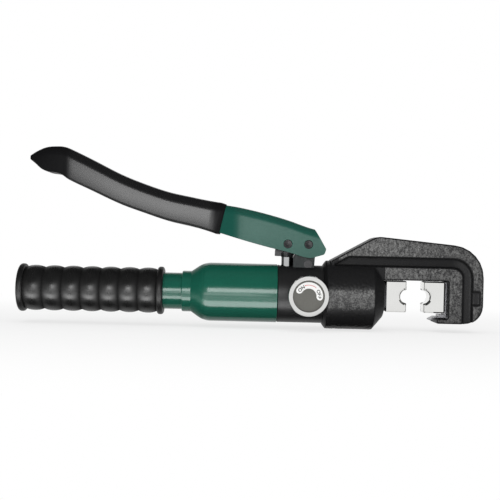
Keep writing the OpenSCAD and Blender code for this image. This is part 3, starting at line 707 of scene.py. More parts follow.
@dataclass
class OilBarrel:
    """Painted oil barrel with its cone and ring, and the painted handle tube behind it."""

    radius: float = 20.0
    front_edge: float = 0.35
    corner_x: float = -50.0
    shoulder: float = 16.0
    cone_end_x: float = -58.6
    cone_foot: float = 0.5
    ring_radius: float = 14.0
    ring_edge: float = 0.7
    ring_end_x: float = -65.0
    spigot_bore: float = 17.0
    spigot_x: float = -10.1
    chamber_bore: float = 15.6
    chamber_x: float = -44.0
    chamber_end_x: float = -52.6
    tube_bore: float = 11.1
    tube_radius: float = 12.5
    tube_inner: float = 9.5
    tube_spigot: float = 11.0
    tube_front_x: float = -53.0
    tube_end_x: float = -172.6
    tube_edge: float = 0.3
    painted_cone_shade: Point = (-50.6, -48.6)

    def gloss(self, x: float) -> float:
        """Share of the paint's gloss at a place along the barrel; the cone is painted dull and darker, a
        painted shade for its missing highlight.
        """
        return fade(x, *self.painted_cone_shade) if x > self.cone_end_x else 1.0

    def build(self) -> None:
        """Builds the barrel and the tube and dresses both in green enamel."""
        barrel = loose_object("painted_barrel", turned(rounded([
            (0, self.spigot_bore, 0),
            (0, self.radius, self.front_edge),
            (self.corner_x, self.radius, self.shoulder),
            (self.cone_end_x, self.ring_radius, self.cone_foot),
            (self.ring_end_x, self.ring_radius, self.ring_edge),
            (self.ring_end_x, self.tube_bore, 0),
            (self.chamber_end_x, self.tube_bore, 0),
            (self.chamber_x, self.chamber_bore, 0),
            (self.spigot_x, self.chamber_bore, 0),
            (self.spigot_x, self.spigot_bore, 0),
        ])))
        # Painted shade: the cone takes the dull, darker paint where the lamp's highlight is missing.
        paint_mask(barrel, BARREL_ENAMEL, map(self.gloss, along_tool(barrel)))
        hand_over(barrel, BARREL_ENAMEL, "barrel")
        tube = loose_object("painted_tube", turned(rounded([
            (self.tube_end_x, self.tube_inner, 0),
            (self.tube_end_x, self.tube_radius, self.tube_edge),
            (self.ring_end_x, self.tube_radius, 0),
            (self.ring_end_x, self.tube_spigot, 0),
            (self.tube_front_x, self.tube_spigot, 0),
            (self.tube_front_x, self.tube_inner, 0),
        ])))
        paint_mask(tube, BARREL_ENAMEL, (1.0 for _ in tube.data.vertices))
        hand_over(tube, BARREL_ENAMEL, "handle_tube")


@dataclass
class HandGrip:
    """Ribbed rubber grip with a flange at each end."""

    tail_x: float = -176.6
    front_x: float = -77.6
    flange_radius: float = 16.4
    flange_length: float = 4.3
    flange_edge: float = 1.7
    rib_radius: float = 15.6
    rib_depth: float = 1.4
    ribs: int = 7
    steps_per_rib: int = 14
    bore: float = 12.6
    bore_edge: float = 0.3
    tail_wall: float = 3.0
    flange_polish: float = 0.6
    flat_end: float = 0.1

    @property
    def rib_start(self) -> float:
        """Place where the ribs start, in front of the tail flange."""
        return self.tail_x + self.flange_length

    @property
    def rib_end(self) -> float:
        """Place where the ribs end, behind the front flange."""
        return self.front_x - self.flange_length

    @property
    def pitch(self) -> float:
        """Length of one rib."""
        return (self.rib_end - self.rib_start) / self.ribs

    def rib_points(self) -> list[Point]:
        """Draws the row of ribs between the flanges, from tail to front.

        Returns:
            Points as (along, radius).
        """
        points = []
        for i in range(self.ribs):
            for share in spaced(0, 1, self.steps_per_rib):
                sink = self.rib_depth * (2 * share - 1) ** 2
                points.append((self.rib_start + (i + share) * self.pitch, self.rib_radius - sink))
        return points

    def crown(self, x: float) -> float:
        """Says how much the hand has polished the rubber, most on the crown of each rib.

        Args:
            x: Place along the tool.

        Returns:
            Share of the polish.
        """
        if x < self.tail_x + self.flat_end:
            return 0.0
        if not self.rib_start < x < self.rib_end:
            return self.flange_polish
        share = ((x - self.rib_start) / self.pitch) % 1.0
        return 1 - (2 * share - 1) ** 2

    def build(self) -> None:
        """Builds the grip and dresses it in rubber."""
        valley = self.rib_radius - self.rib_depth
        floor_x = self.tail_x + self.tail_wall
        tail = rounded([
            (self.tail_x, 0, 0),
            (self.tail_x, self.flange_radius, self.flange_edge),
            (self.rib_start, self.flange_radius, self.flange_edge),
            (self.rib_start, valley, 0),
        ])
        front = rounded([
            (self.rib_end, valley, 0),
            (self.rib_end, self.flange_radius, self.flange_edge),
            (self.front_x, self.flange_radius, self.flange_edge),
            (self.front_x, self.bore, self.bore_edge),
            (floor_x, self.bore, 0),
            (floor_x, 0, 0),
        ])
        grip = loose_object("ribbed_grip", turned(tail + self.rib_points() + front))
        paint_mask(grip, GRIP_RUBBER, map(self.crown, along_tool(grip)))
        hand_over(grip, GRIP_RUBBER, "grip_sleeve")


@dataclass
class CastHead:
    """Rough cast head with its collar, its grooved arm and its hook."""

    voxel: float = 0.45
    smoothing: float = 0.5
    smoothing_passes: int = 14
    arm_half: float = 12.5
    arm_start_x: float = 41.0
    collar_radius: float = 23.5
    collar_end_x: float = 72.6
    collar_margin: float = 1.0
    face_margin: float = 0.35
    collar_share: float = 0.75
    smooth_share: float = 0.05
    collar_calm: float = 0.4
    # Painted highlight on the collar's sides, turned towards the front lamp and a little weaker below the
    # axis.
    painted_highlight_tilt_deg: float = 6.0
    painted_highlight_band: Point = (0.88, 0.985)
    painted_highlight_low: float = 0.92
    painted_highlight_fall: Point = (2.0, -6.0)
    # Painted shade towards the arm's far end.
    far_painted_shade: float = 0.94
    far_shade_span: Point = (80.0, 112.0)
    # Painted light on the groove's right leg.
    groove_leg: Point = (117.0, 125.0)
    painted_leg_light: float = 0.5
    # Outward test of the collar wall, and the fade that lights faces turned to the sides and leaves painted
    # dark rims.
    flat: Point = (0.94, 0.985)
    skin_depth: float = 0.42
    mean_share: float = 0.5
    lump: float = 1.5
    lump_share: float = 0.4
    lump_fractal: tuple[float, float, int] = (0.6, 2.1, 3)
    swell: float = 4.0
    swell_share: float = 0.3
    streak: float = 0.6

    def on_arm(self, at: Vector) -> bool:
        """Tells if a point lies on the arm's rough flat faces."""
        clear = at.x > self.collar_end_x or math.hypot(at.y, at.z) > self.collar_radius + self.collar_margin
        return clear and abs(at.y) > self.arm_half - self.face_margin and at.x > self.arm_start_x

    def on_collar(self, at: Vector, normal: Vector) -> bool:
        """Tells if a point lies on the collar's outer wall.

        Args:
            at: Point in millimetres.
            normal: Way that the surface faces.

        Returns:
            True on the wall.
        """
        radius = math.hypot(at.y, at.z)
        outward = (normal.y * at.y + normal.z * at.z) / radius > self.flat[0]
        return outward and at.x < self.collar_end_x and abs(radius - self.collar_radius) < self.face_margin

    def skin(self, at: Vector, normal: Vector) -> tuple[float, float]:
        """Says how rough the casting is at a point, and how light its tone is, into which light and shade
        are painted.

        Args:
            at: Point in millimetres.
            normal: Way that the surface faces.

        Returns:
            Share of the relief, and share of the light tone: a painted highlight on the collar's sides, a
            painted sheen on the arm's faces turned to the sides with painted dark rims on edges turned
            away, a painted shade towards the arm's far end and a painted light on the groove's right leg.
        """
        flat = fade(abs(normal.y), *self.flat)
        # The arm's faces turned to the sides take the light tone as a painted sheen, their edges a painted
        # dark rim, fading to a painted shade towards the far end.
        if self.on_arm(at):
            return 1.0, flat * (1 - (1 - self.far_painted_shade) * fade(at.x, *self.far_shade_span))
        if self.on_collar(at, normal):
            # Painted highlight: the collar's sides that face the front lamp take the light tone.
            tilt = math.radians(self.painted_highlight_tilt_deg)
            toward_front_lamp = abs(normal.y) * math.cos(tilt) - normal.z * math.sin(tilt)
            low = 1 - (1 - self.painted_highlight_low) * fade(at.z, *self.painted_highlight_fall)
            return self.collar_share, max(self.collar_calm, low * fade(toward_front_lamp, *self.painted_highlight_band))
        # Painted light on the groove's right leg; the rest of the smooth casting keeps the dark tone.
        return self.smooth_share, flat * self.painted_leg_light * fade(at.x, *self.groove_leg)

    def sink(self, at: Vector) -> float:
        """Finds the depth of the sand marks at a point.

        Args:
            at: Point in millimetres.

        Returns:
            Depth under the smooth face on the roughest skin.
        """
        stretched = Vector((at.x, at.y, at.z * self.streak))
        lump = self.lump_share * noise.fractal(stretched / self.lump, *self.lump_fractal)
        swell = self.swell_share * noise.noise(stretched / self.swell)
        return self.skin_depth * min(max(self.mean_share + lump + swell, 0.0), 1.0)

    def build(self) -> None:
        """Builds the casting from the solid and dresses it."""
        casting = loose_object("cast_c_head", node_copy("c_head"))
        grid = casting.modifiers.new("casting_grid", "REMESH")
        grid.mode = "VOXEL"
        grid.voxel_size = self.voxel * MM
        easing = casting.modifiers.new("casting_edges", "SMOOTH")
        easing.factor = self.smoothing
        easing.iterations = self.smoothing_passes
        settle(casting)
        vertices = casting.data.vertices
        outward = [vertex.normal.copy() for vertex in vertices]
        places = [vertex.co / MM for vertex in vertices]
        relief_and_painted_tone = [self.skin(at, normal) for at, normal in zip(places, outward)]
        for vertex, at, normal, (rough, _) in zip(vertices, places, outward, relief_and_painted_tone):
            vertex.co -= normal * self.sink(at) * rough * MM
        # This mask carries the painted light and shade into the casting's tone.
        paint_mask(casting, HEAD_CASTING, (bare for _, bare in relief_and_painted_tone))
        casting.data.shade_smooth()
        hand_over(casting, HEAD_CASTING, "c_head")


@dataclass
class DieSet:
    """Both crimping dies and the spring clip that holds the fixed one."""

    edge: float = 0.8
    clip_edge: float = 0.12

    def build(self) -> None:
        """Builds the dies, the clip and its rivet."""
        for node, name in (("moving_die", "ram_die"), ("fixed_die", "anvil_die")):
            die = loose_object(name, node_copy(node))
            soften(die, self.edge, 1, CREASE_DEG, flat=True)
            hand_over(die, DIE_GROUND, node)
        show_copy("die_clip", "spring_clip", CLIP_STEEL, self.clip_edge)
        dress_nodes(BLACK_STEEL, "clip_rivet")
        dress_nodes(SPRING_BRIGHT, "die_snap_ring")


@dataclass
class RamUnit:
    """Ram with its seal, wiper and return spring."""

    edge: float = 0.25
    spring_start_x: float = 47.6
    spring_end_x: float = 65.9
    spring_radius: float = 13.75
    wire_radius: float = 0.8
    turns: int = 4
    steps_per_turn: int = 40
    wire_sides: int = 12
    pressed_share: float = 0.38

    def spring_rings(self) -> list[list[Place]]:
        """Winds the wire of the return spring.

        Returns:
            Sections of the wire.
        """
        first = self.spring_start_x + self.wire_radius
        last = self.spring_end_x - self.wire_radius
        steps = self.turns * self.steps_per_turn
        rings = []
        for middle, turn in zip(spaced(first, last, steps), spaced(0, math.tau * self.turns, steps)):
            ring = []
            for round_wire in spaced(0, math.tau, self.wire_sides)[:-1]:
                radius = self.spring_radius + self.wire_radius * math.cos(round_wire)
                along = middle + self.wire_radius * math.sin(round_wire)
                ring.append((along, radius * math.cos(turn), radius * math.sin(turn)))
            rings.append(ring)
        return rings

    def build(self) -> None:
        """Builds the ram's pieces and its return spring."""
        show_copy("ram", "turned_ram", RAM_STEEL, self.edge)
        dress_nodes(SEAL_RUBBER, "ram_seal", "ram_wiper")
        spring = loose_object("ram_spring", lofted(self.spring_rings()))
        hand_over(spring, SPRING_BRIGHT, "return_spring")
        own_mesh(spring)


@dataclass
class PumpBlock:
    """Black pump block with its link, its pins and the polished plunger."""

    radius: float = 19.7
    edge: float = 0.6
    front_x: float = 31.0
    thread_radius: float = 18.9
    thread_end_x: float = 40.0
    spigot_radius: float = 16.9
    spigot_x: float = -10.0
    nipple_radius: float = 8.0
    nipple_x: float = -22.0
    link_x: float = 20.6
    link_z: float = 20.4
    link_edge: float = 0.25
    tongue_radius: float = 4.0
    tongue_round: float = 3.96
    tongue_steps: int = 16
    tongue_half: float = 3.9
    pocket_x: Point = (10.3, 24.9)
    pocket_y: Point = (4.1, 7.5)
    pocket_floor: float = 17.6
    plunger_x: float = 6.5
    bore_radius: float = 4.05
    bore_floor: float = -14.0
    gland_radius: float = 6.1
    gland_floor: float = 6.3
    shank_radius: float = 4.5
    shank_floor: float = 8.0
    reach: float = 60.0
    block_edge_deg: float = 40.0
    eye_start_z: float = 25.0

    def build_block(self) -> None:
        """Turns the block, joins its tongue on and cuts its pockets and bores."""
        block = loose_object("pump_block", turned([
            (self.nipple_x, 0), (self.nipple_x, self.nipple_radius),
            (self.spigot_x, self.nipple_radius), (self.spigot_x, self.spigot_radius),
            (0, self.spigot_radius), (0, self.radius - self.edge), (self.edge, self.radius),
            (self.front_x, self.radius), (self.front_x, self.thread_radius),
            (self.thread_end_x, self.thread_radius), (self.thread_end_x, 0),
        ]))
        back, front = self.link_x - self.tongue_radius, self.link_x + self.tongue_radius
        crown = self.link_z + self.tongue_radius
        tongue = rounded([
            (back, 0, 0), (front, 0, 0),
            (front, crown, self.tongue_round), (back, crown, self.tongue_round),
        ], self.tongue_steps)
        carve(block, plate(tongue, -self.tongue_half, self.tongue_half), Cut.JOIN)
        (x0, x1), (near, far), floor = self.pocket_x, self.pocket_y, self.pocket_floor
        slot = [(x0, floor), (x1, floor), (x1, self.reach), (x0, self.reach)]
        carve(block, plate(slot, near, far))
        carve(block, plate(slot, -far, -near))
        upright = Spindle((self.plunger_x, 0, 0), (0, 0, 1), (1, 0, 0), (0, 1, 0))
        gland = [(self.bore_floor, self.bore_radius), (self.gland_floor, self.gland_radius)]
        carve(block, turned(stepped(gland, self.reach), upright, BORE_STEPS))
        shank = [(self.shank_floor, self.shank_radius)]
        carve(block, turned(stepped(shank, self.reach), pin_axis(self.link_x, 0), BORE_STEPS))
        soften(block, self.link_edge, angle=self.block_edge_deg)
        hand_over(block, PUMP_BLACK, "pump_body")

    def plunger_part(self, lower: bool) -> Shape:
        """Parts the plunger at the foot of its neck.

        Args:
            lower: True for the polished rod, False for the black eye.

        Returns:
            The part's closed mesh.
        """
        bm = node_copy("pump_plunger")
        cut = bmesh.ops.bisect_plane(
            bm, geom=bm.verts[:] + bm.edges[:] + bm.faces[:], dist=WELD,
            plane_co=(0, 0, self.eye_start_z), plane_no=(0, 0, 1),
            clear_outer=lower, clear_inner=not lower,
        )
        rim = [e for e in cut["geom_cut"] if isinstance(e, bmesh.types.BMEdge)]
        bmesh.ops.holes_fill(bm, edges=rim)
        return bm

    def build(self) -> None:
        """Builds the block and the open parts of the pump."""
        self.build_block()
        show_copy("link_plates", "fulcrum_links", LINK_STEEL, self.link_edge)
        plunger = loose_object("polished_plunger", self.plunger_part(lower=True))
        hand_over(plunger, PLUNGER_CHROME, "pump_plunger")
        eye = loose_object("plunger_eye", self.plunger_part(lower=False))
        soften(eye, self.link_edge)
        hand_over(eye, BLACK_STEEL, "pump_plunger")
        dress_nodes(BLACK_STEEL, "link_pin", "fulcrum_washers")
        dress_nodes(VALVE_BRASS, "gland_nut", "fulcrum_bush")
        dress_nodes(SEAL_RUBBER, "gland_seal")


@dataclass
class PumpLever:
    """Pressed green lever channel with its black sleeve and both pins.

    A station holds shares of the lever's reach, rise, depth and width. A lip point holds its distance
    behind the sleeve's open end and its distance outside the channel. A pin end point holds its depth
    and its radius.
    """

    fulcrum_x: float = 20.6
    plunger_x: float = 6.5
    pin_z: float = 34.0
    hole_radius: float = 3.0
    hole_steps: int = 48
    pin_half: float = 10.7
    pin_end: tuple[Point, ...] = ((0.5, 0), (0.1, 0.7), (0.1, 2.05), (0, 2.25), (0, 2.6), (0.35, 2.95))
    reach: float = 191.3
    rise: float = 62.6
    depth: float = 20.0
    width: float = 22.0
    wall: float = 2.5
    bend: float = 6.2
    bend_width_share: float = 0.62
    bend_depth_share: float = 0.9
    sleeve_wall: float = 0.9
    sleeve_gap: float = 0.12
    sleeve_bend: float = 7.1
    sleeve_low_bend: float = 1.8
    sleeve_start: float = 0.307
    sleeve_lean: float = 0.22
    lean_fade: float = 16.0
    lip: tuple[Point, ...] = (
        (0.0, 0.25), (0.2, 0.4), (1.2, 0.62), (2.2, 0.84),
        (3.0, 0.96), (3.6, 0.98), (4.4, 0.92), (5.2, 0.9),
    )
    channel_end: float = 0.9
    cavity_end: float = 0.905
    nose_top: float = 4.2
    nose_reach: float = 12.0
    nose_drop: float = 2.9
    nose_radius: float = 1.6
    brow_radius: float = 0.8
    chin_reach: float = 10.9
    chin_drop: float = 6.6
    chin_radius: float = 2.6
    lobe: float = 9.2
    lobe_reach: float = 2.0
    lobe_radius: float = 6.0
    sheet_edge: float = 0.4
    sheet_edge_steps: int = 3
    sheet_edge_deg: float = 50.0
    # Span where the painted shade next to the sleeve gives way to the lamp's sheen.
    lever_painted_shade_edge: Point = (-31.2, -24.6)
    # Spans at the open end and the tip beyond which the sleeve is painted dull and darker, a painted shade.
    sleeve_sheen: Point = (-42.4, -47.8)
    tip_sheen: Point = (-145.5, -141.0)
    steps: int = 6
    least_bay: float = 0.3
    stations: tuple[tuple[float, float, float, float], ...] = (
        (-0.069, 0, 0.84, 1),
        (0, 0.02, 1.03, 1),
        (0.073, 0.086, 1.08, 1),
        (0.158, 0.151, 1.11, 1),
        (0.244, 0.213, 1.07, 1),
        (0.327, 0.267, 0.96, 1),
        (0.416, 0.326, 0.91, 1),
        (0.501, 0.379, 0.9, 1),
        (0.587, 0.46, 0.9, 1),
        (0.673, 0.555, 0.93, 1),
        (0.777, 0.702, 0.97, 1),
        (0.851, 0.804, 0.98, 1),
        (0.878, 0.844, 0.9, 0.985),
        (0.9, 0.86, 0.835, 0.965),
        (0.933, 0.863, 0.775, 0.905),
        (0.956, 0.867, 0.625, 0.82),
        (0.979, 0.877, 0.33, 0.66),
        (1, 0.88, 0.05, 0.4),
    )

    def station(self, share: float) -> tuple[float, ...]:
        """Finds the lever's station on a smooth curve through its neighbours.

        Args:
            share: Distance behind the fulcrum as a share of the reach.

        Returns:
            Place along the tool, height, half the width and half the depth.
        """
        last = len(self.stations) - 1
        i = max(k for k in range(last) if self.stations[k][0] <= share)
        a, b = self.stations[max(i - 1, 0)], self.stations[i]
        c, d = self.stations[i + 1], self.stations[min(i + 2, last)]
        t = (share - b[0]) / (c[0] - b[0])
        along, up, depth, width = (
            q + t * (r - p) / 2 + t * t * (2 * p - 5 * q + 4 * r - s) / 2
            + t ** 3 * (3 * (q - r) + s - p) / 2
            for p, q, r, s in zip(a, b, c, d)
        )
        place = (self.fulcrum_x - along * self.reach, self.pin_z + up * self.rise)
        return (*place, width * self.width / 2, depth * self.depth / 2)

    def shares(self, start: float, end: float) -> list[float]:
        """Lists shares between two ends, evenly in each bay of the stations.

        Args:
            start: First share.
            end: Last share.

        Returns:
            Shares in order, with both ends.
        """
        inner = []
        for here, ahead in zip(self.stations, self.stations[1:]):
            inner += spaced(here[0], ahead[0], self.steps)[:-1]
        gap = self.least_bay / self.reach
        return [start] + [s for s in inner if start + gap < s < end - gap] + [end]

    def sleeve_section(
        self, share: float, grow: float, upper: float, lower: float, lean: float
    ) -> list[Place]:
        """Draws a closed section round the channel.

        Args:
            share: Share of the reach.
            grow: Distance outside the channel.
            upper: Radius of the upper bends.
            lower: Radius of the lower bends.
            lean: Lean of the section along the lever.

        Returns:
            Points of the section.
        """
        x, z, w, h = self.station(min(share, self.stations[-1][0] - BARELY))
        w, h = w + grow, h + grow
        up = min(upper, w * self.bend_width_share, h * self.bend_depth_share)
        low = min(lower, w / 2, h / 2)
        section = rounded([(w, h, up), (-w, h, up), (-w, -h, low), (w, -h, low)])
        return [(x + lean * b, a, z + b) for a, b in section]

    def channel_section(self, share: float) -> list[Place]:
        """Draws the open channel section.

        Args:
            share: Share of the reach.

        Returns:
            Points of the section.
        """
        x, z, w, h = self.station(share)
        inner, roof, bend = w - self.wall, h - self.wall, self.bend - self.wall
        section = rounded([
            (w, -h, 0), (w, h, self.bend), (-w, h, self.bend), (-w, -h, 0),
            (-inner, -h, 0), (-inner, roof, bend), (inner, roof, bend), (inner, -h, 0),
        ])
        return [(x, a, z + b) for a, b in section]

    def build_channel(self) -> None:
        """Presses the channel, trims its nose and drills the pin holes."""
        rows = [self.channel_section(s) for s in self.shares(self.stations[0][0], self.channel_end)]
        channel = loose_object("lever_shell", lofted(rows))
        fx, pz = self.fulcrum_x, self.pin_z
        far = 2 * self.reach
        nose = rounded([
            (fx - far, -far, 0), (fx, -far, 0), (fx, pz - self.lobe, 0),
            (fx + self.lobe_reach, pz - self.lobe, self.lobe_radius),
            (fx + self.chin_reach, pz - self.chin_drop, self.chin_radius),
            (fx + self.nose_reach, pz - self.nose_drop, self.nose_radius),
            (fx + self.nose_top, pz + self.depth / 2 + self.sheet_edge, self.brow_radius),
            (fx - far, pz + far, 0),
        ])
        carve(channel, plate(nose, -self.width, self.width), Cut.KEEP)
        hole = stepped([(-self.width, self.hole_radius)], self.width)
        for x in (self.fulcrum_x, self.plunger_x):
            carve(channel, turned(hole, pin_axis(x, pz), self.hole_steps))
        soften(channel, self.sheet_edge, self.sheet_edge_steps, self.sheet_edge_deg)
        # Painted shade: the flank behind this span is dull and darker, standing in for the gap in the
        # lamp's reflection.
        paint_mask(channel, LEVER_ENAMEL, (fade(x, *self.lever_painted_shade_edge) for x in along_tool(channel)))
        hand_over(channel, LEVER_ENAMEL, "lever_channel")

    def sleeve_row(self, share: float, grow: float) -> list[Place]:
        """Draws one outer section of the sleeve, with the lean of its open end fading out.

        Args:
            share: Share of the reach.
            grow: Distance outside the channel.

        Returns:
            Points of the section.
        """
        back = (share - self.sleeve_start) * self.reach
        lean = self.sleeve_lean * max(0.0, 1 - back / self.lean_fade)
        return self.sleeve_section(share, grow, self.sleeve_bend, self.sleeve_low_bend, lean)

    def build_sleeve(self) -> None:
        """Draws the vinyl sleeve over the channel's long end."""
        inside = self.shares(self.sleeve_start, self.cavity_end)
        tight = (self.sleeve_gap, self.bend, self.sleeve_gap)
        rows = [self.sleeve_section(s, *tight, 0) for s in inside[:1:-1]]
        rows.append(self.sleeve_section(inside[0], *tight, self.sleeve_lean))
        for back, grow in self.lip:
            rows.append(self.sleeve_row(self.sleeve_start + back / self.reach, grow))
        lip_end = self.sleeve_start + self.lip[-1][0] / self.reach
        for share in self.shares(lip_end, self.stations[-1][0])[1:]:
            rows.append(self.sleeve_row(share, self.sleeve_wall))
        sleeve = loose_object("lever_sleeve", lofted(rows))
        # The sheen mask paints the sleeve's open end and its tip dull and darker, a painted shade where the
        # lamps' reflection ends.
        paint_mask(sleeve, SLEEVE_VINYL, (
            fade(x, *self.sleeve_sheen) * fade(x, *self.tip_sheen) for x in along_tool(sleeve)
        ))
        hand_over(sleeve, SLEEVE_VINYL, "lever_grip")

    def build_pins(self) -> None:
        """Turns both pins with a chamfer and a centre mark at each end."""
        outline = [(depth - self.pin_half, radius) for depth, radius in self.pin_end]
        outline += [(self.pin_half - depth, radius) for depth, radius in self.pin_end[::-1]]
        for node, name, x in (
            ("fulcrum_pin", "fulcrum_cross_pin", self.fulcrum_x),
            ("plunger_pin", "plunger_cross_pin", self.plunger_x),
        ):
            pin = loose_object(name, turned(outline, pin_axis(x, self.pin_z), BORE_STEPS))
            hand_over(pin, BLACK_STEEL, node)

    def build(self) -> None:
        """Builds the whole lever."""
        self.build_channel()
        self.build_sleeve()
        self.build_pins()
        dress_nodes(SPRING_BRIGHT, "pin_spacers")


@dataclass
class ReleaseKnob:
    """Knurled release knob with a sunk grey face and its printed arc.

    A point of the face's rim holds its distance inside the rim and its depth. A letter holds its angle.
    """

    x: float = 20.0
    radius: float = 13.3
    hub_radius: float = 8.0
    hub_start: float = 20.3
    hub_edge: float = 0.4
    base: float = 24.4
    base_inset: float = 0.6
    base_edge: float = 0.3
    wall_lift: float = 0.5
    top: float = 35.8
    rim_edge: float = 1.3
    rim_inset: float = 0.25
    rim_round: float = 0.2
    wall_step: float = 0.02
    lip: float = 0.7
    lip_cover: float = 0.9
    lip_gap: float = 0.15
    lip_round: float = 0.12
    sink: float = 1.1
    disc_thick: float = 0.5
    disc_gap: float = 0.05
    disc_rim: tuple[Point, ...] = ((0, 0.12), (0.12, 0), (0.5, 0), (0.6, 0.1), (0.7, 0))
    stud_bore: float = 3.65
    stud_top: float = 32.2
    head_bore: float = 3.5
    knurl_teeth: int = 64
    knurl_depth: float = 0.4
    knurl_rows: int = 44
    knurl_slants: Point = (-0.5, 0.5)
    knurl_steepness: float = 1.6
    facets_per_tooth: int = 8
    label_radius: float = 7.15
    label_half: float = 2.1
    label_from: float = -3.0
    label_to: float = 149.0
    label_steps: int = 48
    label_end_steps: int = 12
    print_thick: float = 0.04
    letter_size: float = 3.1
    letter_weight: float = 0.07
    letters: tuple[tuple[str, float], ...] = (
        ("O", 145.0), ("N", 124.0), ("O", 27.0), ("F", 10.5), ("F", -5.0),
    )
    letter_radius: float = 6.9
    arrow_radius: float = 7.3
    arrow_from: float = 50.0
    arrow_to: float = 106.0
    arrow_half: float = 0.17
    arrow_head_half: float = 0.442
    arrow_head_length: float = 0.935

    @property
    def axis(self) -> Spindle:
        """Axis that the knob turns about."""
        return pin_axis(self.x, 0)

    @property
    def face(self) -> float:
        """Distance of the sunk face from the tool's axis."""
        return self.top - self.sink

    @property
    def face_radius(self) -> float:
        """Radius of the sunk face."""
        return self.radius - self.rim_edge - self.lip

    def knurl(self, along: float, radius: float, turn: float) -> float:
        """Cuts the crossed knurl into the outer wall.

        Args:
            along: Distance along the knob's axis.
            radius: Radius of the wall.
            turn: Angle round the axis.

        Returns:
            Change of radius.
        """
        if radius < self.radius - BARELY:
            return 0.0
        lap = self.knurl_teeth * turn / math.tau
        pitch = math.tau * self.radius / self.knurl_teeth
        ridges = [abs(2 * ((lap + s * along / pitch) % 1.0) - 1) for s in self.knurl_slants]
        return -self.knurl_depth * (1 - min(1.0, self.knurl_steepness * min(ridges)))

    def build_knob(self) -> None:
        """Turns the knob with its knurl, its rounded rim and its recess."""
        wall_end = self.top - self.rim_edge
        cover = self.face_radius - self.lip_cover
        seat = self.face - self.disc_thick
        wall = [(a, self.radius) for a in spaced(self.base + self.wall_lift, wall_end, self.knurl_rows)]
        rim = rounded([
            (wall_end, self.radius - self.wall_step, 0),
            (self.top, self.radius - self.rim_inset, self.rim_round),
            (self.top, cover, self.lip_round),
            (self.face + self.lip_gap, cover, 0),
            (self.face + self.lip_gap, self.face_radius, 0),
            (seat, self.face_radius, 0),
            (seat, self.head_bore, 0),
            (self.stud_top, self.head_bore, 0),
            (self.stud_top, self.stud_bore, 0),
            (self.hub_start, self.stud_bore, 0),
            (self.hub_start, self.hub_radius, self.hub_edge),
            (self.base, self.hub_radius, self.hub_edge),
            (self.base, self.radius - self.base_inset, self.base_edge),
        ])
        facets = self.knurl_teeth * self.facets_per_tooth
        knob = loose_object("knurled_knob", turned(wall + rim, self.axis, facets, self.knurl))
        hand_over(knob, KNOB_BRIGHT, "release_knob")

    def build_face(self) -> None:
        """Turns the grey face disc with a fine rim groove."""
        radius = self.face_radius - self.disc_gap
        seat = self.face - self.disc_thick
        outline = [(seat, 0), (seat, radius)]
        outline += [(self.face - depth, radius - inset) for inset, depth in self.disc_rim]
        outline += [(self.face, radius / 2), (self.face, 0)]
        disc = loose_object("knob_face_disc", turned(outline, self.axis))
        hand_over(disc, KNOB_GREY, "knob_disc")

    def on_face(self, radius: float, degrees: float, lift: float) -> Vector:
        """Finds a point over the face from its radius, its angle from +X to +Z and its height."""
        return self.axis.place(self.face + lift, radius, math.radians(degrees))

    def arc_print(self, name: str, rim: Sequence[Point], layer: int, finish: Finish) -> None:
        """Prints a flat shape on the face.

        Args:
            name: Name of the piece.
            rim: Outline as (radius, degrees).
            layer: Number of the print layer, counted from the face.
            finish: Ink of the print.
        """
        lifts = [self.print_thick * (layer + side / 2) for side in (-1, 1)]
        rings = [[tuple(self.on_face(r, d, lift)) for r, d in rim] for lift in lifts]
        hang_on(loose_object(name, lofted(rings)), finish, "knob")

    def round_end(self, degrees: float, way: int) -> list[Point]:
        """Rounds one end of the label.

        Args:
            degrees: Angle of the end's centre.
            way: 1 at the far end of the arc and -1 at its start.

        Returns:
            Points as (radius, degrees), without the two ends.
        """
        points = []
        for turn in spaced(0, math.pi, self.label_end_steps)[1:-1]:
            out = self.label_radius + way * self.label_half * math.cos(turn)
            aside = way * self.label_half * math.sin(turn)
            points.append((out, degrees + math.degrees(aside / self.label_radius)))
        return points

    def build_label(self) -> None:
        """Prints the white arc with rounded ends and the red arrow on it."""
        arc = spaced(self.label_from, self.label_to, self.label_steps)
        rim = [(self.label_radius + self.label_half, d) for d in arc]
        rim += self.round_end(self.label_to, 1)
        rim += [(self.label_radius - self.label_half, d) for d in arc[::-1]]
        rim += self.round_end(self.label_from, -1)
        self.arc_print("knob_label", rim, 1, LABEL_WHITE)
        sweep = spaced(self.arrow_from, self.arrow_to, self.label_steps)
        tip = self.arrow_to + math.degrees(self.arrow_head_length / self.arrow_radius)
        arrow = [(self.arrow_radius + self.arrow_half, d) for d in sweep]
        arrow += [(self.arrow_radius + self.arrow_head_half, self.arrow_to), (self.arrow_radius, tip)]
        arrow += [(self.arrow_radius - self.arrow_head_half, self.arrow_to)]
        arrow += [(self.arrow_radius - self.arrow_half, d) for d in sweep[::-1]]
        self.arc_print("knob_arrow", arrow, 2, LABEL_RED)

    def letter_mesh(self, letter: str, degrees: float) -> Shape:
        """Shapes one letter and bends it to its place on the arc.

        Args:
            letter: The letter.
            degrees: Angle of its middle.

        Returns:
            The letter's mesh in millimetres.
        """
        curve = bpy.data.curves.new("knob_letter", "FONT")
        curve.body = letter
        curve.size = self.letter_size
        curve.align_x = "CENTER"
        curve.align_y = "CENTER"
        curve.extrude = self.print_thick / 2
        curve.offset = self.letter_weight
        shape = bpy.data.objects.new("knob_letter", curve)
        bpy.context.scene.collection.objects.link(shape)
        bm = bmesh.new()
        bm.from_mesh(settled_mesh(shape))
        bpy.data.objects.remove(shape)
        for vertex in bm.verts:
            a, b, c = vertex.co
            aside = math.degrees(a / self.letter_radius)
            vertex.co = self.on_face(self.letter_radius + b, degrees - aside, c + 2 * self.print_thick)
        return bm

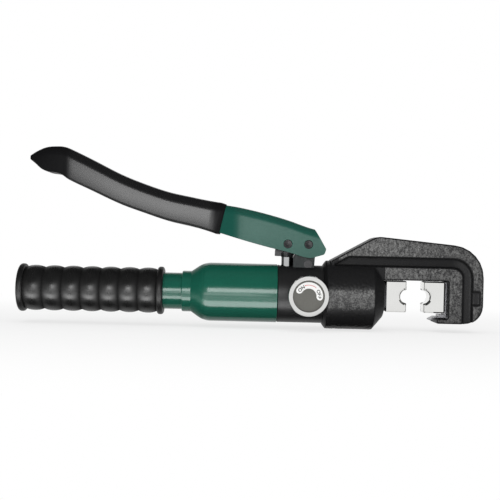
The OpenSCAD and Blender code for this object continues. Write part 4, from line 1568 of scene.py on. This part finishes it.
    def build(self) -> None:
        """Builds the knob, its face and its print."""
        self.build_knob()
        self.build_face()
        self.build_label()
        for i, (letter, degrees) in enumerate(self.letters):
            piece = loose_object(f"knob_letter_{i + 1}", self.letter_mesh(letter, degrees))
            hang_on(piece, LABEL_INK, "knob")
        dress_nodes(BLACK_STEEL, "release_spindle", "knob_screw")
        dress_nodes(SEAL_RUBBER, "spindle_seal")


@dataclass
class InnerParts:
    """Valves, seals and oil bag that lie inside and keep their own solids."""

    nodes: tuple[tuple[Finish, tuple[str, ...]], ...] = (
        (SEAL_RUBBER, ("oil_bladder", "barrel_seal", "head_seal")),
        (VALVE_BRASS, ("inlet_seat", "outlet_screw", "relief_screw")),
        (SPRING_BRIGHT, ("bladder_clamp", "inlet_ball", "inlet_spring", "outlet_ball", "outlet_spring")),
        (SPRING_BRIGHT, ("relief_ball", "relief_spring", "release_ball")),
        (BLACK_STEEL, ("tube_plug",)),
    )

    def build(self) -> None:
        """Dresses each inner node."""
        for finish, nodes in self.nodes:
            dress_nodes(finish, *nodes)


@dataclass(frozen=True)
class SoftLight:
    """Soft box with its place, its size and its brightness."""

    name: str
    place: Place
    aim: Place
    width: float
    height: float
    brightness: float
    seen: Seen
    left_out: tuple[Finish, ...] = ()

    def leave_out(self, holder: Piece) -> None:
        """Keeps the light off the pieces in the finishes that it leaves out.

        Args:
            holder: The light.
        """
        names = {finish.name for finish in self.left_out}
        group = bpy.data.collections.new(f"{self.name}_left_out")
        for obj in bpy.context.scene.objects:
            if obj.type == "MESH" and any(m and m.name in names for m in obj.data.materials):
                group.objects.link(obj)
        for member in group.collection_objects:
            member.light_linking.link_state = "EXCLUDE"
        holder.light_linking.receiver_collection = group

    def build(self) -> None:
        """Hangs the light and points it at its aim."""
        lamp = bpy.data.lights.new(self.name, "AREA")
        lamp.shape = "RECTANGLE"
        lamp.size = self.width * MM
        lamp.size_y = self.height * MM
        lamp.energy = self.brightness * math.pi * lamp.size * lamp.size_y
        holder = bpy.data.objects.new(self.name, lamp)
        holder.location = Vector(self.place) * MM
        sight = Vector(self.aim) - Vector(self.place)
        holder.rotation_euler = sight.to_track_quat("-Z", "Y").to_euler()
        holder.visible_camera = False
        holder.visible_diffuse, holder.visible_glossy = self.seen.value
        bpy.context.scene.collection.objects.link(holder)
        if self.left_out:
            self.leave_out(holder)


@dataclass(frozen=True)
class DarkCard:
    """Dark card that only mirrors see, which keeps the rims of round parts deep."""

    name: str
    corners: tuple[Place, Place, Place, Place]
    tone: float = 0.06

    def build(self) -> None:
        """Hangs the card beside the light."""
        bm = bmesh.new()
        bm.faces.new([bm.verts.new(corner) for corner in self.corners])
        card = loose_object(self.name, bm)
        material = node_material(self.name)
        wiring = Wiring(material.node_tree)
        glow = wiring.add("Emission", {"Color": (self.tone, self.tone, self.tone, 1)})
        wiring.fill(wiring.tree.nodes["Material Output"], {"Surface": glow.outputs["Emission"]})
        card.data.materials.append(material)
        card.visible_camera = False
        card.visible_diffuse = False
        card.visible_transmission = False
        card.visible_shadow = False


@dataclass
class Studio:
    """White studio with a pale floor, soft light and the camera of the photograph."""

    floor_z: float = -23.6
    floor_half: float = 6000.0
    floor_tone: float = 0.9
    near_glow: float = 0.72
    near_reach: float = 60.0
    far_reach: float = 320.0
    reach_shares: Place = (0.4, 1.0, 0.0)
    room_light: float = 0.45
    eye: Place = (-19.1, -650.0, 29.3)
    roll_deg: float = 1.395
    lens: float = 67.9
    sensor: float = 36.0
    nearest: float = 10.0
    lights: tuple[SoftLight, ...] = (
        SoftLight("front_strip", (-105, -950, 145), (-105, 0, 145), 590, 250, 6.0, Seen.SHADING),
        SoftLight(
            "front_glint", (-63, -940, 145), (-63, 0, 145), 508, 250, 9.5, Seen.MIRRORED, BRIGHT_METAL
        ),
        SoftLight("near_glint", (-100, -35, -22), (-100, -35, 0), 260, 18, 8.0, Seen.MIRRORED, OVER_FLOOR),
        SoftLight("far_glint", (-78, -87, -22), (-78, -87, 0), 305, 86, 4.5, Seen.MIRRORED, OVER_FLOOR),
        SoftLight(
            "horizon_glint", (-110, -275, -22), (-110, -275, 0), 240, 290, 4.5, Seen.MIRRORED, OVER_FLOOR
        ),
        SoftLight("floor_bounce", (-20, -120, -22), (-20, -120, 0), 420, 160, 1.2, Seen.SHADING),
        SoftLight("top_panel", (0, -150, 900), (0, 0, 0), 1200, 700, 1.2, Seen.SHADING),
        SoftLight("rear_panel", (0, 1000, 500), (0, 0, 0), 1000, 500, 0.8, Seen.SHADING),
    )
    cards: tuple[DarkCard, ...] = (
        DarkCard(
            "ceiling_card",
            ((-1500, -900, 300), (1500, -900, 300), (1500, 300, 300), (-1500, 300, 300)),
        ),
        DarkCard(
            "floor_card",
            ((-260, -26, -23.4), (240, -26, -23.4), (240, -8, -23.4), (-260, -8, -23.4)),
        ),
        DarkCard(
            "tail_card",
            ((-1000, -500, -20), (-1000, 900, -20), (-1000, 900, 300), (-1000, -500, 300)),
        ),
        DarkCard(
            "head_card",
            ((1000, -500, -20), (1000, 900, -20), (1000, 900, 300), (1000, -500, 300)),
        ),
    )

    def seen_ray(self, wiring: Wiring) -> Socket:
        """Finds out if a ray is one that shows the background.

        Args:
            wiring: Nodes of the floor or of the world.

        Returns:
            1 for camera, glossy and transmission rays.
        """
        path = wiring.add("LightPath", {}).outputs
        first = {0: path["Is Camera Ray"], 1: path["Is Glossy Ray"]}
        either = wiring.add("Math", first, operation="MAXIMUM").outputs[0]
        both = {0: either, 1: path["Is Transmission Ray"]}
        return wiring.add("Math", both, operation="MAXIMUM").outputs[0]

    def glow_by_distance(self, wiring: Wiring) -> Socket:
        """Lets the floor's own glow fade near the tool, where the shadow lies.

        Args:
            wiring: Nodes of the floor.

        Returns:
            Share of the glow.
        """
        place = wiring.add("TexCoord", {}).outputs["Object"]
        squeeze = wiring.add("VectorMath", {0: place, 1: self.reach_shares}, operation="MULTIPLY")
        distance = wiring.add("VectorMath", {0: squeeze.outputs["Vector"]}, operation="LENGTH")
        return wiring.add("MapRange", {
            "Value": distance.outputs["Value"],
            "From Min": self.near_reach * MM, "From Max": self.far_reach * MM,
            "To Min": self.near_glow, "To Max": 1.0,
        }, interpolation_type="SMOOTHSTEP").outputs["Result"]

    def build_floor(self) -> None:
        """Lays the pale floor, which glows for the camera and still takes the shadow."""
        bm = bmesh.new()
        reach = self.floor_half
        corners = [(-reach, -reach), (reach, -reach), (reach, reach), (-reach, reach)]
        bm.faces.new([bm.verts.new((x, y, self.floor_z)) for x, y in corners])
        floor = loose_object("studio_floor", bm)
        material = node_material("pale_floor")
        wiring = Wiring(material.node_tree)
        shader = wiring.tree.nodes["Principled BSDF"]
        wiring.fill(shader, {
            "Base Color": (self.floor_tone, self.floor_tone, self.floor_tone, 1),
            "Roughness": 1.0, "Specular IOR Level": 0.0,
        })
        factors = {0: self.seen_ray(wiring), 1: self.glow_by_distance(wiring)}
        share = wiring.add("Math", factors, operation="MULTIPLY")
        glow = wiring.add("Emission", {})
        mix = wiring.add("MixShader", {
            "Fac": share.outputs[0], 1: shader.outputs["BSDF"], 2: glow.outputs["Emission"],
        })
        wiring.fill(wiring.tree.nodes["Material Output"], {"Surface": mix.outputs["Shader"]})
        floor.data.materials.append(material)

    def build_room(self) -> None:
        """Fills the room with even light and shows it white."""
        world = bpy.data.worlds.new("studio_room")
        world.use_nodes = True
        wiring = Wiring(world.node_tree)
        strength = wiring.add("MapRange", {
            "Value": self.seen_ray(wiring), "To Min": self.room_light, "To Max": 1.0,
        })
        wiring.fill(wiring.tree.nodes["Background"], {
            "Color": (1, 1, 1, 1), "Strength": strength.outputs["Result"],
        })
        bpy.context.scene.world = world

    def build_camera(self) -> None:
        """Sets the camera where the photograph was taken from."""
        roll = math.radians(self.roll_deg)
        right = Vector((math.cos(roll), 0, math.sin(roll)))
        up = Vector((-math.sin(roll), 0, math.cos(roll)))
        back = Vector((0, -1, 0))
        camera = bpy.data.cameras.new("photo_camera")
        camera.lens = self.lens
        camera.sensor_width = self.sensor
        camera.clip_start = self.nearest * MM
        holder = bpy.data.objects.new("photo_camera", camera)
        turn = Matrix((right, up, back)).transposed().to_4x4()
        holder.matrix_world = Matrix.Translation(Vector(self.eye) * MM) @ turn
        bpy.context.scene.collection.objects.link(holder)
        bpy.context.scene.camera = holder

    def build(self) -> None:
        """Builds the studio."""
        self.build_floor()
        self.build_room()
        self.build_camera()
        for item in self.lights + self.cards:
            item.build()
        bpy.context.scene.view_settings.view_transform = "Standard"


def main() -> None:
    """Builds the tool and the studio."""
    logging.basicConfig(level=logging.INFO, format="%(name)s: %(message)s")
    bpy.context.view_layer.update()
    for part in (
        OilBarrel(), HandGrip(), CastHead(), DieSet(), RamUnit(), PumpBlock(),
        PumpLever(), ReleaseKnob(), InnerParts(), Studio(),
    ):
        log.info("building %s", type(part).__name__)
        part.build()
    bpy.context.view_layer.update()


if __name__ == "__main__":
    main()
